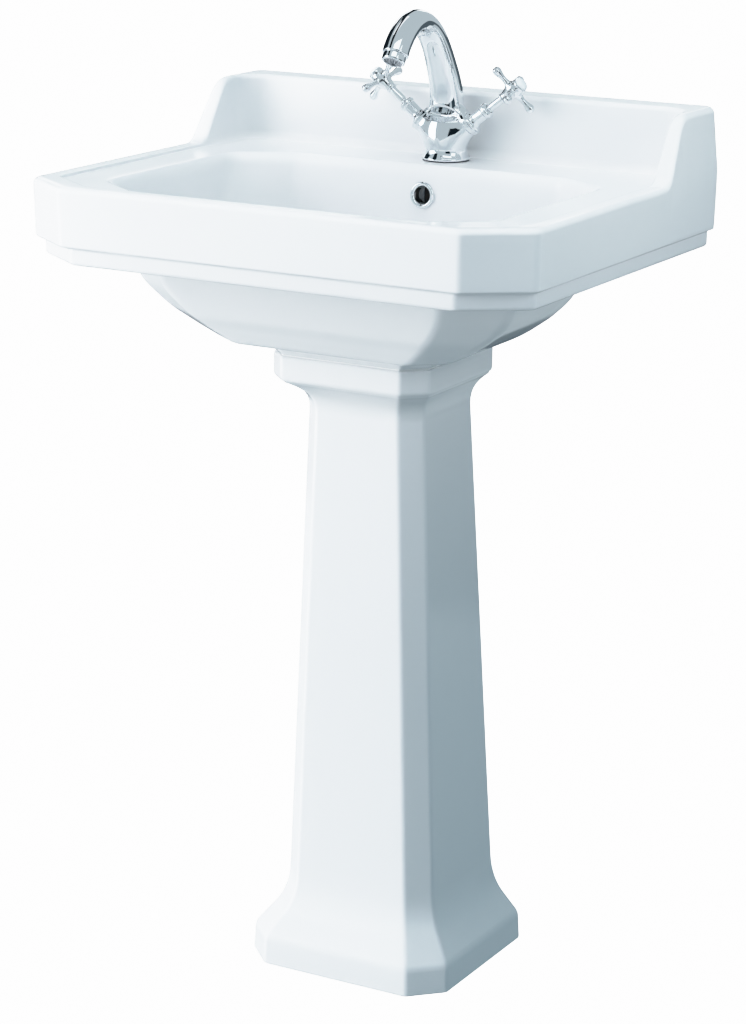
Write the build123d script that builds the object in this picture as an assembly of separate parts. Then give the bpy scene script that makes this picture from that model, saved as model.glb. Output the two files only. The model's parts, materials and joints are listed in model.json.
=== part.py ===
from build123d import *
import math
import os

# Pedestal sink: a vitreous-china basin on a hollow china pedestal, with a monobloc
# mixer tap, a push waste and a bottle trap. Millimetres throughout.
#
# Frame: the origin is on the floor, in the middle of the sink's footprint.
# +Z is up, +Y points to the wall (the basin's back is at +BASIN_DEPTH / 2) and
# +X is to the right of somebody who faces the sink's front.

# ------------------------------------------------------------------ basin sizes
BASIN_WIDTH = 560.0
BASIN_DEPTH = 455.0
CHINA = 12.0                # thickness of the basin's cast walls
CORNER_CUT_X = 60.0         # cut front corners of the fascia, along X and Y
CORNER_CUT_Y = 42.0
FASCIA_HEIGHT = 60.0        # tall band round the rim
FASCIA_DRAFT = 1.5          # the fascia is this much narrower at its lower edge
BAND_HEIGHT = 18.0          # small band below the fascia
BAND_INSET = 7.0            # how far the small band steps back
LIP_WIDTH = 20.0            # raised lip round the deck
LIP_STEP = 3.5              # the deck lies this far below the lip
UPSTAND_HEIGHT = 65.0       # splashback above the lip
UPSTAND_THICK = 36.0
UPSTAND_LEAN = 7.0          # the ends of the splashback lean in by this much
WING_TOP = 82.0             # wing length from the wall, along its top
WING_FOOT = 124.0           # wing length from the wall, where it meets the lip
WING_CORNER = 28.0          # radius inside, between wing and splashback
BELLY_HEIGHT = 91.0         # from the foot's top up to the small band
FOOT_HEIGHT = 10.0          # collar that stands on the pedestal
FOOT_FLARE = 4.0
FOOT_WALL = 15.0

# ------------------------------------------------------------------- bowl sizes
BOWL_SIDE_RIM = 68.0        # deck and lip beside the bowl
BOWL_FRONT_RIM = 42.0       # deck and lip in front of the bowl
BOWL_FROM_TAP = 48.0        # bowl's rear edge, in front of the tap's centre
BOWL_EDGE = 8.0             # softened edge between deck and bowl
BOWL_CUT_X = 58.0           # cut corners of the bowl's mouth
BOWL_CUT_Y = 40.0
BOWL_REAR_CUT = 34.0
FLOOR_RISE = 25.0           # bowl floor above the foot's underside
FLOOR_SPREAD = 16.8         # flat floor beside and in front of the waste's recess
FLOOR_BEHIND = 2.8          # flat floor behind the waste's recess
# The bowl's wall, from the mouth down: share of the depth, then the shares by
# which the section has spread from the floor to the mouth at the sides, the
# front and the back, and how much larger the rear corner cuts are.
BOWL_STATIONS = [
    (1.000, 1.000, 1.000, 1.000, 1.0),
    (0.505, 0.975, 0.727, 0.870, 1.8),
    (0.325, 0.914, 0.655, 0.720, 2.4),
    (0.193, 0.778, 0.570, 0.550, 2.5),
    (0.093, 0.617, 0.510, 0.380, 2.3),
    (0.040, 0.463, 0.436, 0.250, 2.0),
    (0.000, 0.100, 0.150, 0.080, 0.8),
]

# ---------------------------------------------------------------- overflow sizes
OVERFLOW_DROP = 30.5        # overflow centre below the deck
OVERFLOW_HOLE_R = 10.5
OVERFLOW_RING_LIP = 3.5     # the ring's lip covers the hole's edge by this
OVERFLOW_RING_WALL = 1.8
OVERFLOW_RING_THICK = 2.2
OVERFLOW_SLEEVE = 9.0
DUCT_DEPTH = 13.0           # overflow duct on the back of the bowl
DUCT_SKIN = 5.0
DUCT_HALF_X = 14.0
DUCT_ROWS = 3               # wall stations of the bowl that the duct follows

# ---------------------------------------------------------------- pedestal sizes
PEDESTAL_HEIGHT = 664.5
PEDESTAL_WALL = 10.0        # thickness of the pedestal's cast walls
SEAT_SEAL = 1.5             # sealant between pedestal and basin
PLINTH_WIDTH = 236.0
PLINTH_FRONT = -59.0
PLINTH_BACK = 145.0
PLINTH_HEIGHT = 31.0
PLINTH_DRAFT = 1.2
PLINTH_CUT = 32.0
SHOULDER_HEIGHT = 60.0      # sloped shoulder above the plinth
# The shoulder, as (share of its height, share of its way in to the column).
SHOULDER_CURVE = [(0.0, 0.0), (0.5, 0.80), (0.72, 0.95), (1.0, 1.0)]
COLUMN_LOW_WIDTH = 176.0    # column just above the shoulder
COLUMN_LOW_FRONT = -26.0
COLUMN_LOW_BACK = 135.0
COLUMN_LOW_CUT = 22.5
COLUMN_TOP_WIDTH = 135.0    # column just below the capital
COLUMN_TOP_FRONT = -22.8
COLUMN_TOP_BACK = 101.0
COLUMN_TOP_CUT = 20.0
CAPITAL_WIDTH = 181.0
CAPITAL_FRONT = -58.0
CAPITAL_BACK = 104.0
CAPITAL_CUT = 22.0
CAPITAL_HEIGHT = 26.5
COVE_HEIGHT = 34.0          # hollow curve under the capital
COVE_STEPS = 5
COVE_REACH = 0.92           # share of the capital's overhang under the cove
REAR_RETURN = 26.0          # china left at each side of the open back
SEAL_MARGIN = 2.0           # the sealant stays this far inside the foot's edges
FLOOR_HOLE_R = 4.0
FLOOR_PAD = 16.0            # half width of the pad round each floor hole
FLOOR_HOLE_SPACING = 150.0
WALL_HOLE_R = 6.0
WALL_HOLE_SPACING = 280.0
WALL_HOLE_DROP = 45.0       # wall bolts below the lip

# ------------------------------------------------------------------ waste sizes
WASTE_Y = 30.0
WASTE_R = 20.9              # outside of the threaded body
WASTE_WALL = 3.4
WASTE_HOLE_GAP = 2.1        # the body stands this far inside its hole
WASTE_FLANGE_LIP = 8.5      # the flange covers the hole's edge by this
WASTE_FLANGE_THICK = 3.0
WASTE_RECESS = 3.0          # depth of the flange's recess in the bowl floor
RECESS_GAP = 1.7            # recess round the flange
BOSS_WALL = 3.8             # china round the recess, below the bowl floor
WASTE_TAIL = 76.0           # length of the body below the bowl floor
WASTE_SEAL = 1.5
UNDER_SEAL = 3.2
BACKNUT_HEIGHT = 8.0
BACKNUT_WALL = 4.1
PLUG_MARGIN = 2.5           # the plug stays this far inside the flange's edge
PLUG_RISE = 5.5
PLUG_RIM = 2.0              # straight edge of the plug
PLUG_GAP = 0.3              # plug and its seal clear the flange by this
PLUG_SEAL_INSET = 4.5       # the seal lies this far inside the plug's edge
PLUG_SEAL_WIDTH = 5.0
PLUG_SEAL_DEPTH = 2.0       # depth of the seal's groove in the plug
# The plug's dome, as (share of its radius, share of its rise).
PLUG_DOME = [(0.8, 0.75), (0.5, 0.93), (0.0, 1.0)]
STEM_R = 4.0
BUSH_WALL = 3.0
BUSH_DROP = 6.0             # bush below the top of the flange
BUSH_LENGTH = 23.5
WEB_THICK = 3.0             # the bush hangs on webs this thick
WEB_TURNS = (90, 210, 330)
SLOT_TURNS = (30, -30)      # overflow slots, between the webs
SLOT_HEIGHT = 7.5
SLOT_WIDTH = 8.0
RUNNING = 0.05              # radial clearance of turning and sliding fits
FIT = 0.1                   # radial clearance of assembled, unmoving pieces
EDGE = 1.0                  # small bevels on turned edges
OVERCUT = 1.0               # holes are cut past the faces that they open through

# ------------------------------------------------------------------- trap sizes
TRAP_NUT_WALL = 2.4
TRAP_NUT_HEIGHT = 20.0
TRAP_LIP = 3.2              # inner lip of each union nut
TRAP_WASHER = 1.5
NECK_STEP = 2.4             # the neck is this much slimmer than its lip
NECK_WALL = 4.2
TRAP_NECK = 7.0
TRAP_HEAD_R = 29.0
TRAP_SHOULDER = 4.0         # head above the outlet's socket
TRAP_SKIRT = 10.0           # head below the outlet's socket
TRAP_WALL = 3.0
TRAP_CUP = 58.0
CUP_BEVEL = 5.0
TRAP_COLLAR = 3.0
TRAP_COLLAR_HEIGHT = 14.0
DIP_TUBE = 82.0             # dip tube below the top of the head
DIP_TUBE_WALL = 1.5
OUTLET_R = 16.0             # 32 mm waste pipe
SOCKET_WALL = 4.9           # outlet's socket round the pipe
SOCKET_DEPTH = 10.2         # the pipe stands this deep in its socket
NUT_ROOM = 3.0              # outlet nut clear of the cup's collar
PIPE_WALL = 1.8
PIPE_SPIGOT_STEP = 0.3      # the pipe is this much slimmer inside its nut and socket
WALL_GAP = 48.0             # pipe end to wall face, where the house's own socket stands out

# -------------------------------------------------------------------- tap sizes
TAP_FROM_UPSTAND = 30.5     # tap centre in front of the splashback
TAP_HOLE_R = 17.5
TAP_SEAL = 1.0
TAP_FLANGE_LIP = 8.0        # the foot covers the tap hole's edge by this
SEAL_LIP = 1.0              # seals stay this far inside the flanges on them
TAP_WAIST_R = 20.3
TAP_BODY_HEIGHT = 48.0      # the turned body ends here, inside the spout
# The flared foot, as (share of the way in from the flange to the waist, height).
TAP_FLARE = [(0.0, 2.5), (0.29, 4.2), (0.71, 8.0), (1.0, 13.0), (1.0, 30.0)]
ARM_ROOT = 16.8             # where the arm axes cross, above the tap's foot
ARM_TILT = 38.0             # arms rise by this many degrees
ARM_START = 6.0             # along the arm, where its cone begins
ARM_ROOT_STEP = 4.0         # the cone's root is this much slimmer than the waist
ARM_LENGTH = 38.0           # along the arm, to the end of its flange
ARM_FLANGE = 4.0
ARM_WALL = 4.2              # arm's flange round the valve's seat
ARM_NECK = 1.2              # the arm is this much slimmer beside its flange
VALVE_R = 8.9
VALVE_DEPTH = 16.0
VALVE_STEM_WALL = 1.75      # the valve's stem is this much larger than the spindle
SPINDLE_R = 4.25
SPINDLE_FOOT_STEP = 1.25    # the spindle's foot is this much slimmer
SPINDLE_PLAY = 0.35         # end play of the spindle on its valve
SPINDLE_SHOWN = 19.0        # spindle between bonnet and handle
BONNET_WALL = 1.1
BONNET_LENGTH = 25.0
BONNET_FLANGE_LIP = 4.2
BONNET_FLANGE = 2.0
BONNET_FLARE = 3.0          # length of the taper above the bonnet's flange
BONNET_RING_LIP = 1.2
BONNET_RING = 4.0
BONNET_NOSE = 1.5           # tapered end beyond the ring
BONNET_TIP_STEP = 1.4
GLAND_LENGTH = 9.0
VALVE_GAP = 0.5             # valve's stem clear of the gland
HUB_RISE = 15.5             # hub's middle from its inner end
HUB_OUTER = 10.0            # hub's outer end from its middle
HUB_WALL = 1.2              # hub round its index cap
HUB_LIP = 0.6               # the hub's outer end stands round the cap by this
HUB_SHOULDER = 7.0          # tapered stretch at the hub's outer end
HUB_THROAT_WALL = 1.1
HUB_COLLAR = 1.5            # height of the small collar at the hub's inner end
HUB_COLLAR_STEP = 0.6
# The hub's flare, as (share of the way out from its throat, distance from its inner end).
HUB_FLARE = [(0.0, 3.5), (0.28, 7.0), (0.78, 10.5), (1.0, 13.5)]
CUP_SETBACK = 4.0           # floor of the hub's cup beyond its middle
CAP_OVERHANG = 1.8          # the cap's dome covers the cup's edge by this
SCREW_R = 2.0
SCREW_HEAD_R = 3.5
SCREW_HEAD = 2.0
SCREW_LENGTH = 9.0
SCREW_SEAT = 1.5            # hub wall under the screw's head
SPINDLE_TAPPING = 10.0      # depth of the hole for the handle's screw
SPOKE_REACH = 30.5
SPOKE_BALL_R = 4.6
SPOKE_NECK_R = 2.8
SPOKE_NECK = (4.0, 7.0)     # slimmest stretch, from the hub's surface
SPOKE_ROOT = 1.2            # the spoke is this much stouter inside the hub
SPOKE_TURNS = (0, 90, 180, 270)
CAP_R = 7.8
CAP_RISE = 5.0
CAP_STEPS = 6
CAP_AIR = 0.5               # cap clear of the screw's head
HANDLE_TWIST = 20.0         # resting angle of each cross handle
SPOUT_WALL = 4.0
SPOUT_TILT = 25.0           # nozzle leans forward of straight down
NOZZLE_STEP = 1.3           # nozzle's collar is this much slimmer than the spout's tip
NOZZLE_LENGTH = 8.5
NOZZLE_SPIGOT = 5.0
NOZZLE_WALL = 1.4
NOZZLE_SHELF = 2.0          # shelf that the aerator's washer lies on
NOZZLE_WASHER = 1.0
AERATOR_THICK = 4.0
AERATOR_PITCH = 3.3         # honeycomb, from hole to hole
AERATOR_HOLE_R = 1.35
AERATOR_RIM = 0.5
TAIL_R = 5.0                # 10 mm copper tails
TAIL_WALL = 0.8
TAIL_X = 8.0
TAIL_Y = -5.0
TAIL_SPREAD = 26.0         # the tails stand this far from the middle lower down
TAIL_BEND_DROP = 55.0       # bends start this far below the deck's underside
TAIL_BEND_FALL = 75.0       # height over which a tail moves out
TAIL_LENGTH = 329.5         # tails below the deck's underside
TAIL_DEPTH = 12.0
TAIL_BEND_R = 60.0
WATERWAY_R = 2.5
VALVE_INLET = 2.0           # waterways meet the valve's seat this far in
STUD_R = 4.0
STUD_Y = 10.0
STUD_DEPTH = 12.0
STUD_LENGTH = 62.0
SHOE_R = 22.0
SHOE_RUBBER = 3.0
SHOE_METAL = 2.0
SHOE_GAP = 2.0              # shoe round the tails
STUD_NUT_WALL = 2.4
STUD_NUT_HEIGHT = 6.5
# Spout centre line and section, as (reach forward, height, width, thickness).
SPOUT_STATIONS = [
    (0.0, 44.0, 38.0, 38.0),
    (1.0, 64.0, 35.8, 35.6),
    (6.0, 82.0, 33.4, 33.0),
    (14.5, 100.0, 31.2, 30.5),
    (25.0, 118.0, 29.6, 28.0),
    (38.0, 133.5, 29.0, 25.8),
    (52.0, 143.5, 28.6, 24.2),
    (67.0, 148.0, 28.3, 23.6),
    (82.0, 146.0, 28.0, 23.8),
    (96.0, 138.0, 27.7, 24.6),
    (107.0, 127.0, 27.4, 25.8),
    (113.0, 118.0, 27.2, 26.6),
]

# -------------------------------------------------------------- derived levels
FOOT_Z = PEDESTAL_HEIGHT + SEAT_SEAL
BELLY_Z = FOOT_Z + FOOT_HEIGHT
BAND_Z = BELLY_Z + BELLY_HEIGHT
FASCIA_Z = BAND_Z + BAND_HEIGHT
RIM_Z = FASCIA_Z + FASCIA_HEIGHT
TOP_Z = RIM_Z + UPSTAND_HEIGHT
DECK_Z = RIM_Z - LIP_STEP
FLOOR_Z = FOOT_Z + FLOOR_RISE
BACK_Y = BASIN_DEPTH / 2
FRONT_Y = -BASIN_DEPTH / 2
UPSTAND_Y = BACK_Y - UPSTAND_THICK
TAP_Y = UPSTAND_Y - TAP_FROM_UPSTAND
TAP_Z = DECK_Z + TAP_SEAL
TAP_FLANGE_R = TAP_HOLE_R + TAP_FLANGE_LIP
ARM_ROOT_Z = TAP_Z + ARM_ROOT
THREAD_R = WASTE_R + FIT
WASTE_BORE_R = WASTE_R - WASTE_WALL
WASTE_HOLE_R = WASTE_R + WASTE_HOLE_GAP
WASTE_FLANGE_R = WASTE_HOLE_R + WASTE_FLANGE_LIP
RECESS_R = WASTE_FLANGE_R + RECESS_GAP
WASTE_BOSS_R = RECESS_R + BOSS_WALL
WASTE_UNDERSIDE = FOOT_Z + FOOT_HEIGHT / 2
RECESS_Z = FLOOR_Z - WASTE_RECESS


# ---------------------------------------------------------------- shape helpers
def cut_rectangle(z, half_x, front, back, cut_x, cut_y, rear_x=0.0, rear_y=0.0):
    """Level face: a rectangle whose front, and perhaps rear, corners are cut."""
    corners = [(half_x - cut_x, front), (half_x, front + cut_y)]
    if rear_x > 0:
        corners += [(half_x, back - rear_y), (half_x - rear_x, back)]
    else:
        corners += [(half_x, back)]
    mirrored = [(-x, y) for x, y in reversed(corners)]
    return Plane.XY.offset(z) * make_face(Polyline(*corners, *mirrored, close=True))


def turned(profile):
    """Solid of revolution about Z from a closed outline of (radius, height)."""
    return revolve(Plane.XZ * make_face(Polyline(*profile, close=True)), Axis.Z)


def disc(radius, low, high):
    """Upright cylinder between two heights."""
    return Pos(0, 0, low) * extrude(Circle(radius), high - low)


def ring(outer, inner, low, high):
    """Upright tube between two heights."""
    return Pos(0, 0, low) * extrude(Circle(outer) - Circle(inner), high - low)


def hexagon_nut(bore, wall, low, high):
    """Six-sided nut; wall is its thickness at the middle of each side."""
    corner_r = (bore + wall) / math.cos(math.radians(30))
    return Pos(0, 0, low) * extrude(RegularPolygon(corner_r, 6) - Circle(bore), high - low)


def bar(start, end, radius):
    """Round bar between two points."""
    line = Line(start, end)
    return Plane(start, z_dir=line % 0) * extrude(Circle(radius), line.length)


def box_between(low, high):
    """Box from its lowest to its highest corner."""
    size = [b - a for a, b in zip(low, high)]
    middle = [(a + b) / 2 for a, b in zip(low, high)]
    return Pos(*middle) * Box(*size)


# ------------------------------------------------------------------------ bowl
def bowl_rows():
    """The inside of the bowl as rows of (height, half width, front, back, rear cut)."""
    half_top = BASIN_WIDTH / 2 - BOWL_SIDE_RIM
    front_top = FRONT_Y + BOWL_FRONT_RIM
    back_top = TAP_Y - BOWL_FROM_TAP
    half_low = RECESS_R + FLOOR_SPREAD
    front_low = WASTE_Y - RECESS_R - FLOOR_SPREAD
    back_low = WASTE_Y + RECESS_R + FLOOR_BEHIND
    rows = []
    for rise, side, fore, aft, rear in BOWL_STATIONS:
        z = FLOOR_Z + rise * (DECK_Z - FLOOR_Z)
        half = half_low + side * (half_top - half_low)
        front = front_low + fore * (front_top - front_low)
        back = back_low + aft * (back_top - back_low)
        rows.append((z, half, front, back, rear * BOWL_REAR_CUT))
    return rows


def bowl_section(row, grow=0.0):
    """One level section of the bowl; its corner cuts shrink with its width."""
    z, half, front, back, rear_cut = row
    share = half / (BASIN_WIDTH / 2 - BOWL_SIDE_RIM)
    cut_x = BOWL_CUT_X * share
    cut_y = min(BOWL_CUT_Y * share, (back - front) / 3)
    rear_y = min(rear_cut, (back - front) / 2)
    return cut_rectangle(z, half + grow, front - grow, back + grow, cut_x, cut_y, cut_x, rear_y)


def bowl_cavity():
    """Everything inside the bowl, with its softened edge at the deck."""
    rows = bowl_rows()
    z, half, front, back, rear_cut = rows[0]
    below = (z - BOWL_EDGE, half, front, back, rear_cut)
    above = (z + LIP_STEP, half, front, back, rear_cut)
    walls = [bowl_section(row) for row in reversed([below] + rows[1:])]
    flare = [bowl_section(below), bowl_section(rows[0], BOWL_EDGE)]
    mouth = [bowl_section(rows[0], BOWL_EDGE), bowl_section(above, BOWL_EDGE)]
    return loft(walls, ruled=True) + loft(flare, ruled=True) + loft(mouth, ruled=True)


def bowl_outside_rows():
    """The bowl's rows moved out by the china's thickness, square to the side wall."""
    rows = bowl_rows()
    moved = []
    for index, (z, half, front, back, rear_cut) in enumerate(rows):
        upper = rows[max(index - 1, 0)]
        lower = rows[min(index + 1, len(rows) - 1)]
        rise = upper[0] - lower[0]
        run = upper[1] - lower[1]
        length = math.hypot(rise, run)
        out = CHINA * rise / length
        down = CHINA * run / length
        moved.append((z - down, half + out, front - out, back + out, rear_cut))
    return moved


def bowl_outside():
    """Solid that fills the bowl and its wall, up into the deck slab."""
    rows = bowl_outside_rows()
    z, half, front, back, rear_cut = rows[0]
    rows[0] = (DECK_Z - CHINA / 2, half, front, back, rear_cut)
    return loft([bowl_section(row) for row in reversed(rows)], ruled=True)


def bowl_back_at(z):
    """Where the bowl's inner back wall lies at a height."""
    rows = bowl_rows()
    for upper, lower in zip(rows, rows[1:]):
        if z >= lower[0]:
            share = (z - lower[0]) / (upper[0] - lower[0])
            return lower[3] + share * (upper[3] - lower[3])
    return rows[-1][3]


# -------------------------------------------------------------------- overflow
OVERFLOW_RING_R = OVERFLOW_HOLE_R + OVERFLOW_RING_LIP
OVERFLOW_Z = DECK_Z - OVERFLOW_DROP
OVERFLOW_Y = bowl_back_at(OVERFLOW_Z)
OVERFLOW_LEAN = math.degrees(math.atan2(
    bowl_back_at(OVERFLOW_Z + OVERFLOW_RING_R) - bowl_back_at(OVERFLOW_Z - OVERFLOW_RING_R),
    2 * OVERFLOW_RING_R))
CHANNEL_HALF = DUCT_HALF_X - DUCT_SKIN
CHANNEL_LOW = BELLY_Z


def on_overflow(shape):
    """Stand a shape on the bowl's back wall, its +Z pointing out of the wall."""
    return Pos(0, OVERFLOW_Y, OVERFLOW_Z) * Rot(X=90 - OVERFLOW_LEAN) * shape


def duct_prism(half_x, skin, low):
    """Upright prism behind the bowl, along its back wall; skin is how far it is drawn in."""
    rows = [row for row in bowl_outside_rows()[1:] if row[0] < OVERFLOW_Z][:DUCT_ROWS]
    reach = DUCT_DEPTH - skin
    top_z = OVERFLOW_Z + OVERFLOW_HOLE_R + DUCT_SKIN - skin
    outline = [(0.0, top_z), (bowl_outside_rows()[0][3] + reach, top_z)]
    outline += [(row[3] + reach, row[0]) for row in rows]
    outline += [(rows[-1][3] + reach, low), (0.0, low)]
    return extrude(Plane.YZ * make_face(Polyline(*outline, close=True)), half_x, both=True)


def overflow_duct():
    """Block on the bowl's back and the channel in it, down to the waste hole."""
    keep = box_between((-BASIN_WIDTH, WASTE_Y, 0), (BASIN_WIDTH, BASIN_DEPTH, TOP_Z))
    block = duct_prism(DUCT_HALF_X, 0, CHANNEL_LOW - DUCT_SKIN) & keep
    channel = (duct_prism(CHANNEL_HALF, DUCT_SKIN, CHANNEL_LOW) & keep) - bowl_outside()
    port_top = RECESS_Z - CHINA / 2
    port_back = bowl_outside_rows()[DUCT_ROWS][3]
    port = box_between((-CHANNEL_HALF, WASTE_Y, CHANNEL_LOW), (CHANNEL_HALF, port_back, port_top))
    return block, channel + port


# ----------------------------------------------------------------------- basin
FASCIA_INSET = FASCIA_DRAFT + BAND_INSET


def fascia_outline(z, inset):
    """Level outline of the basin's front and sides, drawn in by an inset."""
    return cut_rectangle(z, BASIN_WIDTH / 2 - inset, FRONT_Y + inset, BACK_Y,
                         CORNER_CUT_X, CORNER_CUT_Y)


def basin_envelope():
    """Fascia, small band and splashback, all solid."""
    fascia = loft([fascia_outline(FASCIA_Z, FASCIA_DRAFT), fascia_outline(RIM_Z, 0)], ruled=True)
    band = extrude(fascia_outline(BAND_Z, FASCIA_INSET), BAND_HEIGHT)
    upstand = loft([fascia_outline(RIM_Z, 0), fascia_outline(TOP_Z, UPSTAND_LEAN)], ruled=True)
    profile = [(BACK_Y - WING_FOOT, RIM_Z), (BACK_Y - WING_TOP, TOP_Z),
               (BACK_Y, TOP_Z), (BACK_Y, RIM_Z)]
    side_view = extrude(Plane.YZ * make_face(Polyline(*profile, close=True)),
                        BASIN_WIDTH, both=True)
    return fascia + band + (upstand & side_view)


def deck_recess():
    """Space above the deck, inside the lip, the wings and the splashback."""
    half = BASIN_WIDTH / 2 - LIP_WIDTH
    front = FRONT_Y + LIP_WIDTH
    face = cut_rectangle(DECK_Z, half, front, UPSTAND_Y, CORNER_CUT_X, CORNER_CUT_Y)
    rear_corners = face.vertices().sort_by(Axis.Y)[-2:]
    return extrude(fillet(rear_corners, WING_CORNER), TOP_Z - DECK_Z)


def under_pocket():
    """Hollow under the deck and inside the splashback, open from below."""
    inset = FASCIA_INSET + CHINA
    outline = cut_rectangle(BAND_Z, BASIN_WIDTH / 2 - inset, FRONT_Y + inset, BACK_Y - CHINA,
                            CORNER_CUT_X, CORNER_CUT_Y)
    pocket = extrude(outline, DECK_Z - CHINA - BAND_Z)
    core_half = BASIN_WIDTH / 2 - inset - WING_CORNER
    core = box_between((-core_half, UPSTAND_Y + CHINA, BAND_Z),
                       (core_half, BACK_Y - CHINA, TOP_Z - CHINA))
    return pocket + core


def foot_face(z, grow):
    """Level outline of the foot, which is as wide as the pedestal's capital."""
    return cut_rectangle(z, CAPITAL_WIDTH / 2 + grow, CAPITAL_FRONT - grow, CAPITAL_BACK + grow,
                         CAPITAL_CUT, CAPITAL_CUT)


def basin_foot():
    """Collar under the bowl that stands on the pedestal's capital."""
    flare = loft([foot_face(FOOT_Z, 0), foot_face(BELLY_Z, FOOT_FLARE)], ruled=True)
    collar = flare + extrude(foot_face(BELLY_Z, FOOT_FLARE), FLOOR_Z - BELLY_Z)
    return collar - extrude(foot_face(FOOT_Z, -FOOT_WALL), FLOOR_Z - FOOT_Z)


def make_basin():
    block, channel = overflow_duct()
    shell = basin_envelope() - deck_recess() - under_pocket()
    boss = at_waste(disc(WASTE_BOSS_R, WASTE_UNDERSIDE, FLOOR_Z))
    basin = shell + bowl_outside() + basin_foot() + boss + block
    basin -= bowl_cavity()
    basin -= channel
    basin -= on_overflow(disc(OVERFLOW_HOLE_R, DUCT_SKIN - CHINA - DUCT_DEPTH, CHINA))
    basin -= at_waste(disc(WASTE_HOLE_R, FOOT_Z, DECK_Z))
    basin -= at_waste(disc(RECESS_R, RECESS_Z, FLOOR_Z + CHINA))
    basin -= at_tap(disc(TAP_HOLE_R, -2 * CHINA, UPSTAND_HEIGHT))
    for side in (-1, 1):
        start = (side * WALL_HOLE_SPACING / 2, BACK_Y - CHINA - OVERCUT, RIM_Z - WALL_HOLE_DROP)
        end = (start[0], BACK_Y + OVERCUT, start[2])
        basin -= bar(start, end, WALL_HOLE_R)
    return basin


# -------------------------------------------------------------------- pedestal
PLINTH = (PLINTH_WIDTH, PLINTH_FRONT, PLINTH_BACK, PLINTH_CUT)
COLUMN_LOW = (COLUMN_LOW_WIDTH, COLUMN_LOW_FRONT, COLUMN_LOW_BACK, COLUMN_LOW_CUT)
COLUMN_TOP = (COLUMN_TOP_WIDTH, COLUMN_TOP_FRONT, COLUMN_TOP_BACK, COLUMN_TOP_CUT)
CAPITAL = (CAPITAL_WIDTH, CAPITAL_FRONT, CAPITAL_BACK, CAPITAL_CUT)
SHOULDER_Z = PLINTH_HEIGHT + SHOULDER_HEIGHT
CAPITAL_Z = PEDESTAL_HEIGHT - CAPITAL_HEIGHT
COVE_Z = CAPITAL_Z - COVE_HEIGHT


def pedestal_mix(low, high, share):
    """Sizes part of the way from one level of the pedestal to another."""
    return [a + (b - a) * share for a, b in zip(low, high)]


def pedestal_face(z, sizes, inset=0.0):
    """Level face of the pedestal from (width, front, back, corner cut)."""
    width, front, back, cut = sizes
    return cut_rectangle(z, width / 2 - inset, front + inset, back - inset, cut, cut)


def pedestal_outside():
    """Plinth, shoulder, tapering column, cove and capital, all solid."""
    plinth_top = (PLINTH_WIDTH - 2 * PLINTH_DRAFT, PLINTH_FRONT + PLINTH_DRAFT,
                  PLINTH_BACK - PLINTH_DRAFT, PLINTH_CUT)
    plinth = loft([pedestal_face(0, PLINTH), pedestal_face(PLINTH_HEIGHT, plinth_top)], ruled=True)
    shoulder = [pedestal_face(PLINTH_HEIGHT + rise * SHOULDER_HEIGHT,
                              pedestal_mix(plinth_top, COLUMN_LOW, share))
                for rise, share in SHOULDER_CURVE]
    column = [pedestal_face(SHOULDER_Z, COLUMN_LOW), pedestal_face(COVE_Z, COLUMN_TOP)]
    cove = []
    for step in range(COVE_STEPS + 1):
        turn = math.radians(90 * step / COVE_STEPS)
        share = COVE_REACH * (1 - math.cos(turn))
        rise = math.sin(turn) * COVE_HEIGHT
        cove.append(pedestal_face(COVE_Z + rise, pedestal_mix(COLUMN_TOP, CAPITAL, share)))
    capital = extrude(pedestal_face(CAPITAL_Z, CAPITAL), CAPITAL_HEIGHT)
    return (plinth + loft(shoulder, ruled=True) + loft(column, ruled=True)
            + loft(cove, ruled=True) + capital)


SLOT_LOW = COLUMN_LOW_WIDTH / 2 - PEDESTAL_WALL - REAR_RETURN
SLOT_TOP = COLUMN_TOP_WIDTH / 2 - PEDESTAL_WALL - REAR_RETURN


def pedestal_hollow():
    """Inside of the pedestal, with its open back."""
    low = pedestal_face(0, COLUMN_LOW, PEDESTAL_WALL)
    shoulder = pedestal_face(SHOULDER_Z, COLUMN_LOW, PEDESTAL_WALL)
    top = pedestal_face(COVE_Z, COLUMN_TOP, PEDESTAL_WALL)
    hollow = extrude(low, SHOULDER_Z) + loft([shoulder, top], ruled=True)
    hollow += extrude(top, PEDESTAL_HEIGHT - COVE_Z)
    corners = [(SLOT_LOW, 0), (SLOT_TOP, COVE_Z), (SLOT_TOP, PEDESTAL_HEIGHT)]
    mirrored = [(-x, z) for x, z in reversed(corners)]
    slot_face = Plane.XZ * make_face(Polyline(*corners, *mirrored, close=True))
    middle_y = (COLUMN_TOP_FRONT + COLUMN_TOP_BACK) / 2
    slot = Pos(0, BACK_Y, 0) * extrude(slot_face, BACK_Y - middle_y)
    return hollow + slot


def make_pedestal():
    """Pedestal with two flat pads inside its foot, drilled for the floor screws."""
    pedestal = pedestal_outside() - pedestal_hollow()
    inside = extrude(pedestal_face(0, COLUMN_LOW), PEDESTAL_WALL)
    back = COLUMN_LOW_BACK - PEDESTAL_WALL
    y = back - FLOOR_PAD
    for side in (-1, 1):
        x = side * FLOOR_HOLE_SPACING / 2
        pad = box_between((x - FLOOR_PAD, back - 2 * FLOOR_PAD, 0),
                          (x + FLOOR_PAD, COLUMN_LOW_BACK - PEDESTAL_WALL / 2, PEDESTAL_WALL))
        pedestal += pad & inside
        pedestal -= bar((x, y, -OVERCUT), (x, y, PEDESTAL_WALL + OVERCUT), FLOOR_HOLE_R)
    return pedestal


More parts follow.
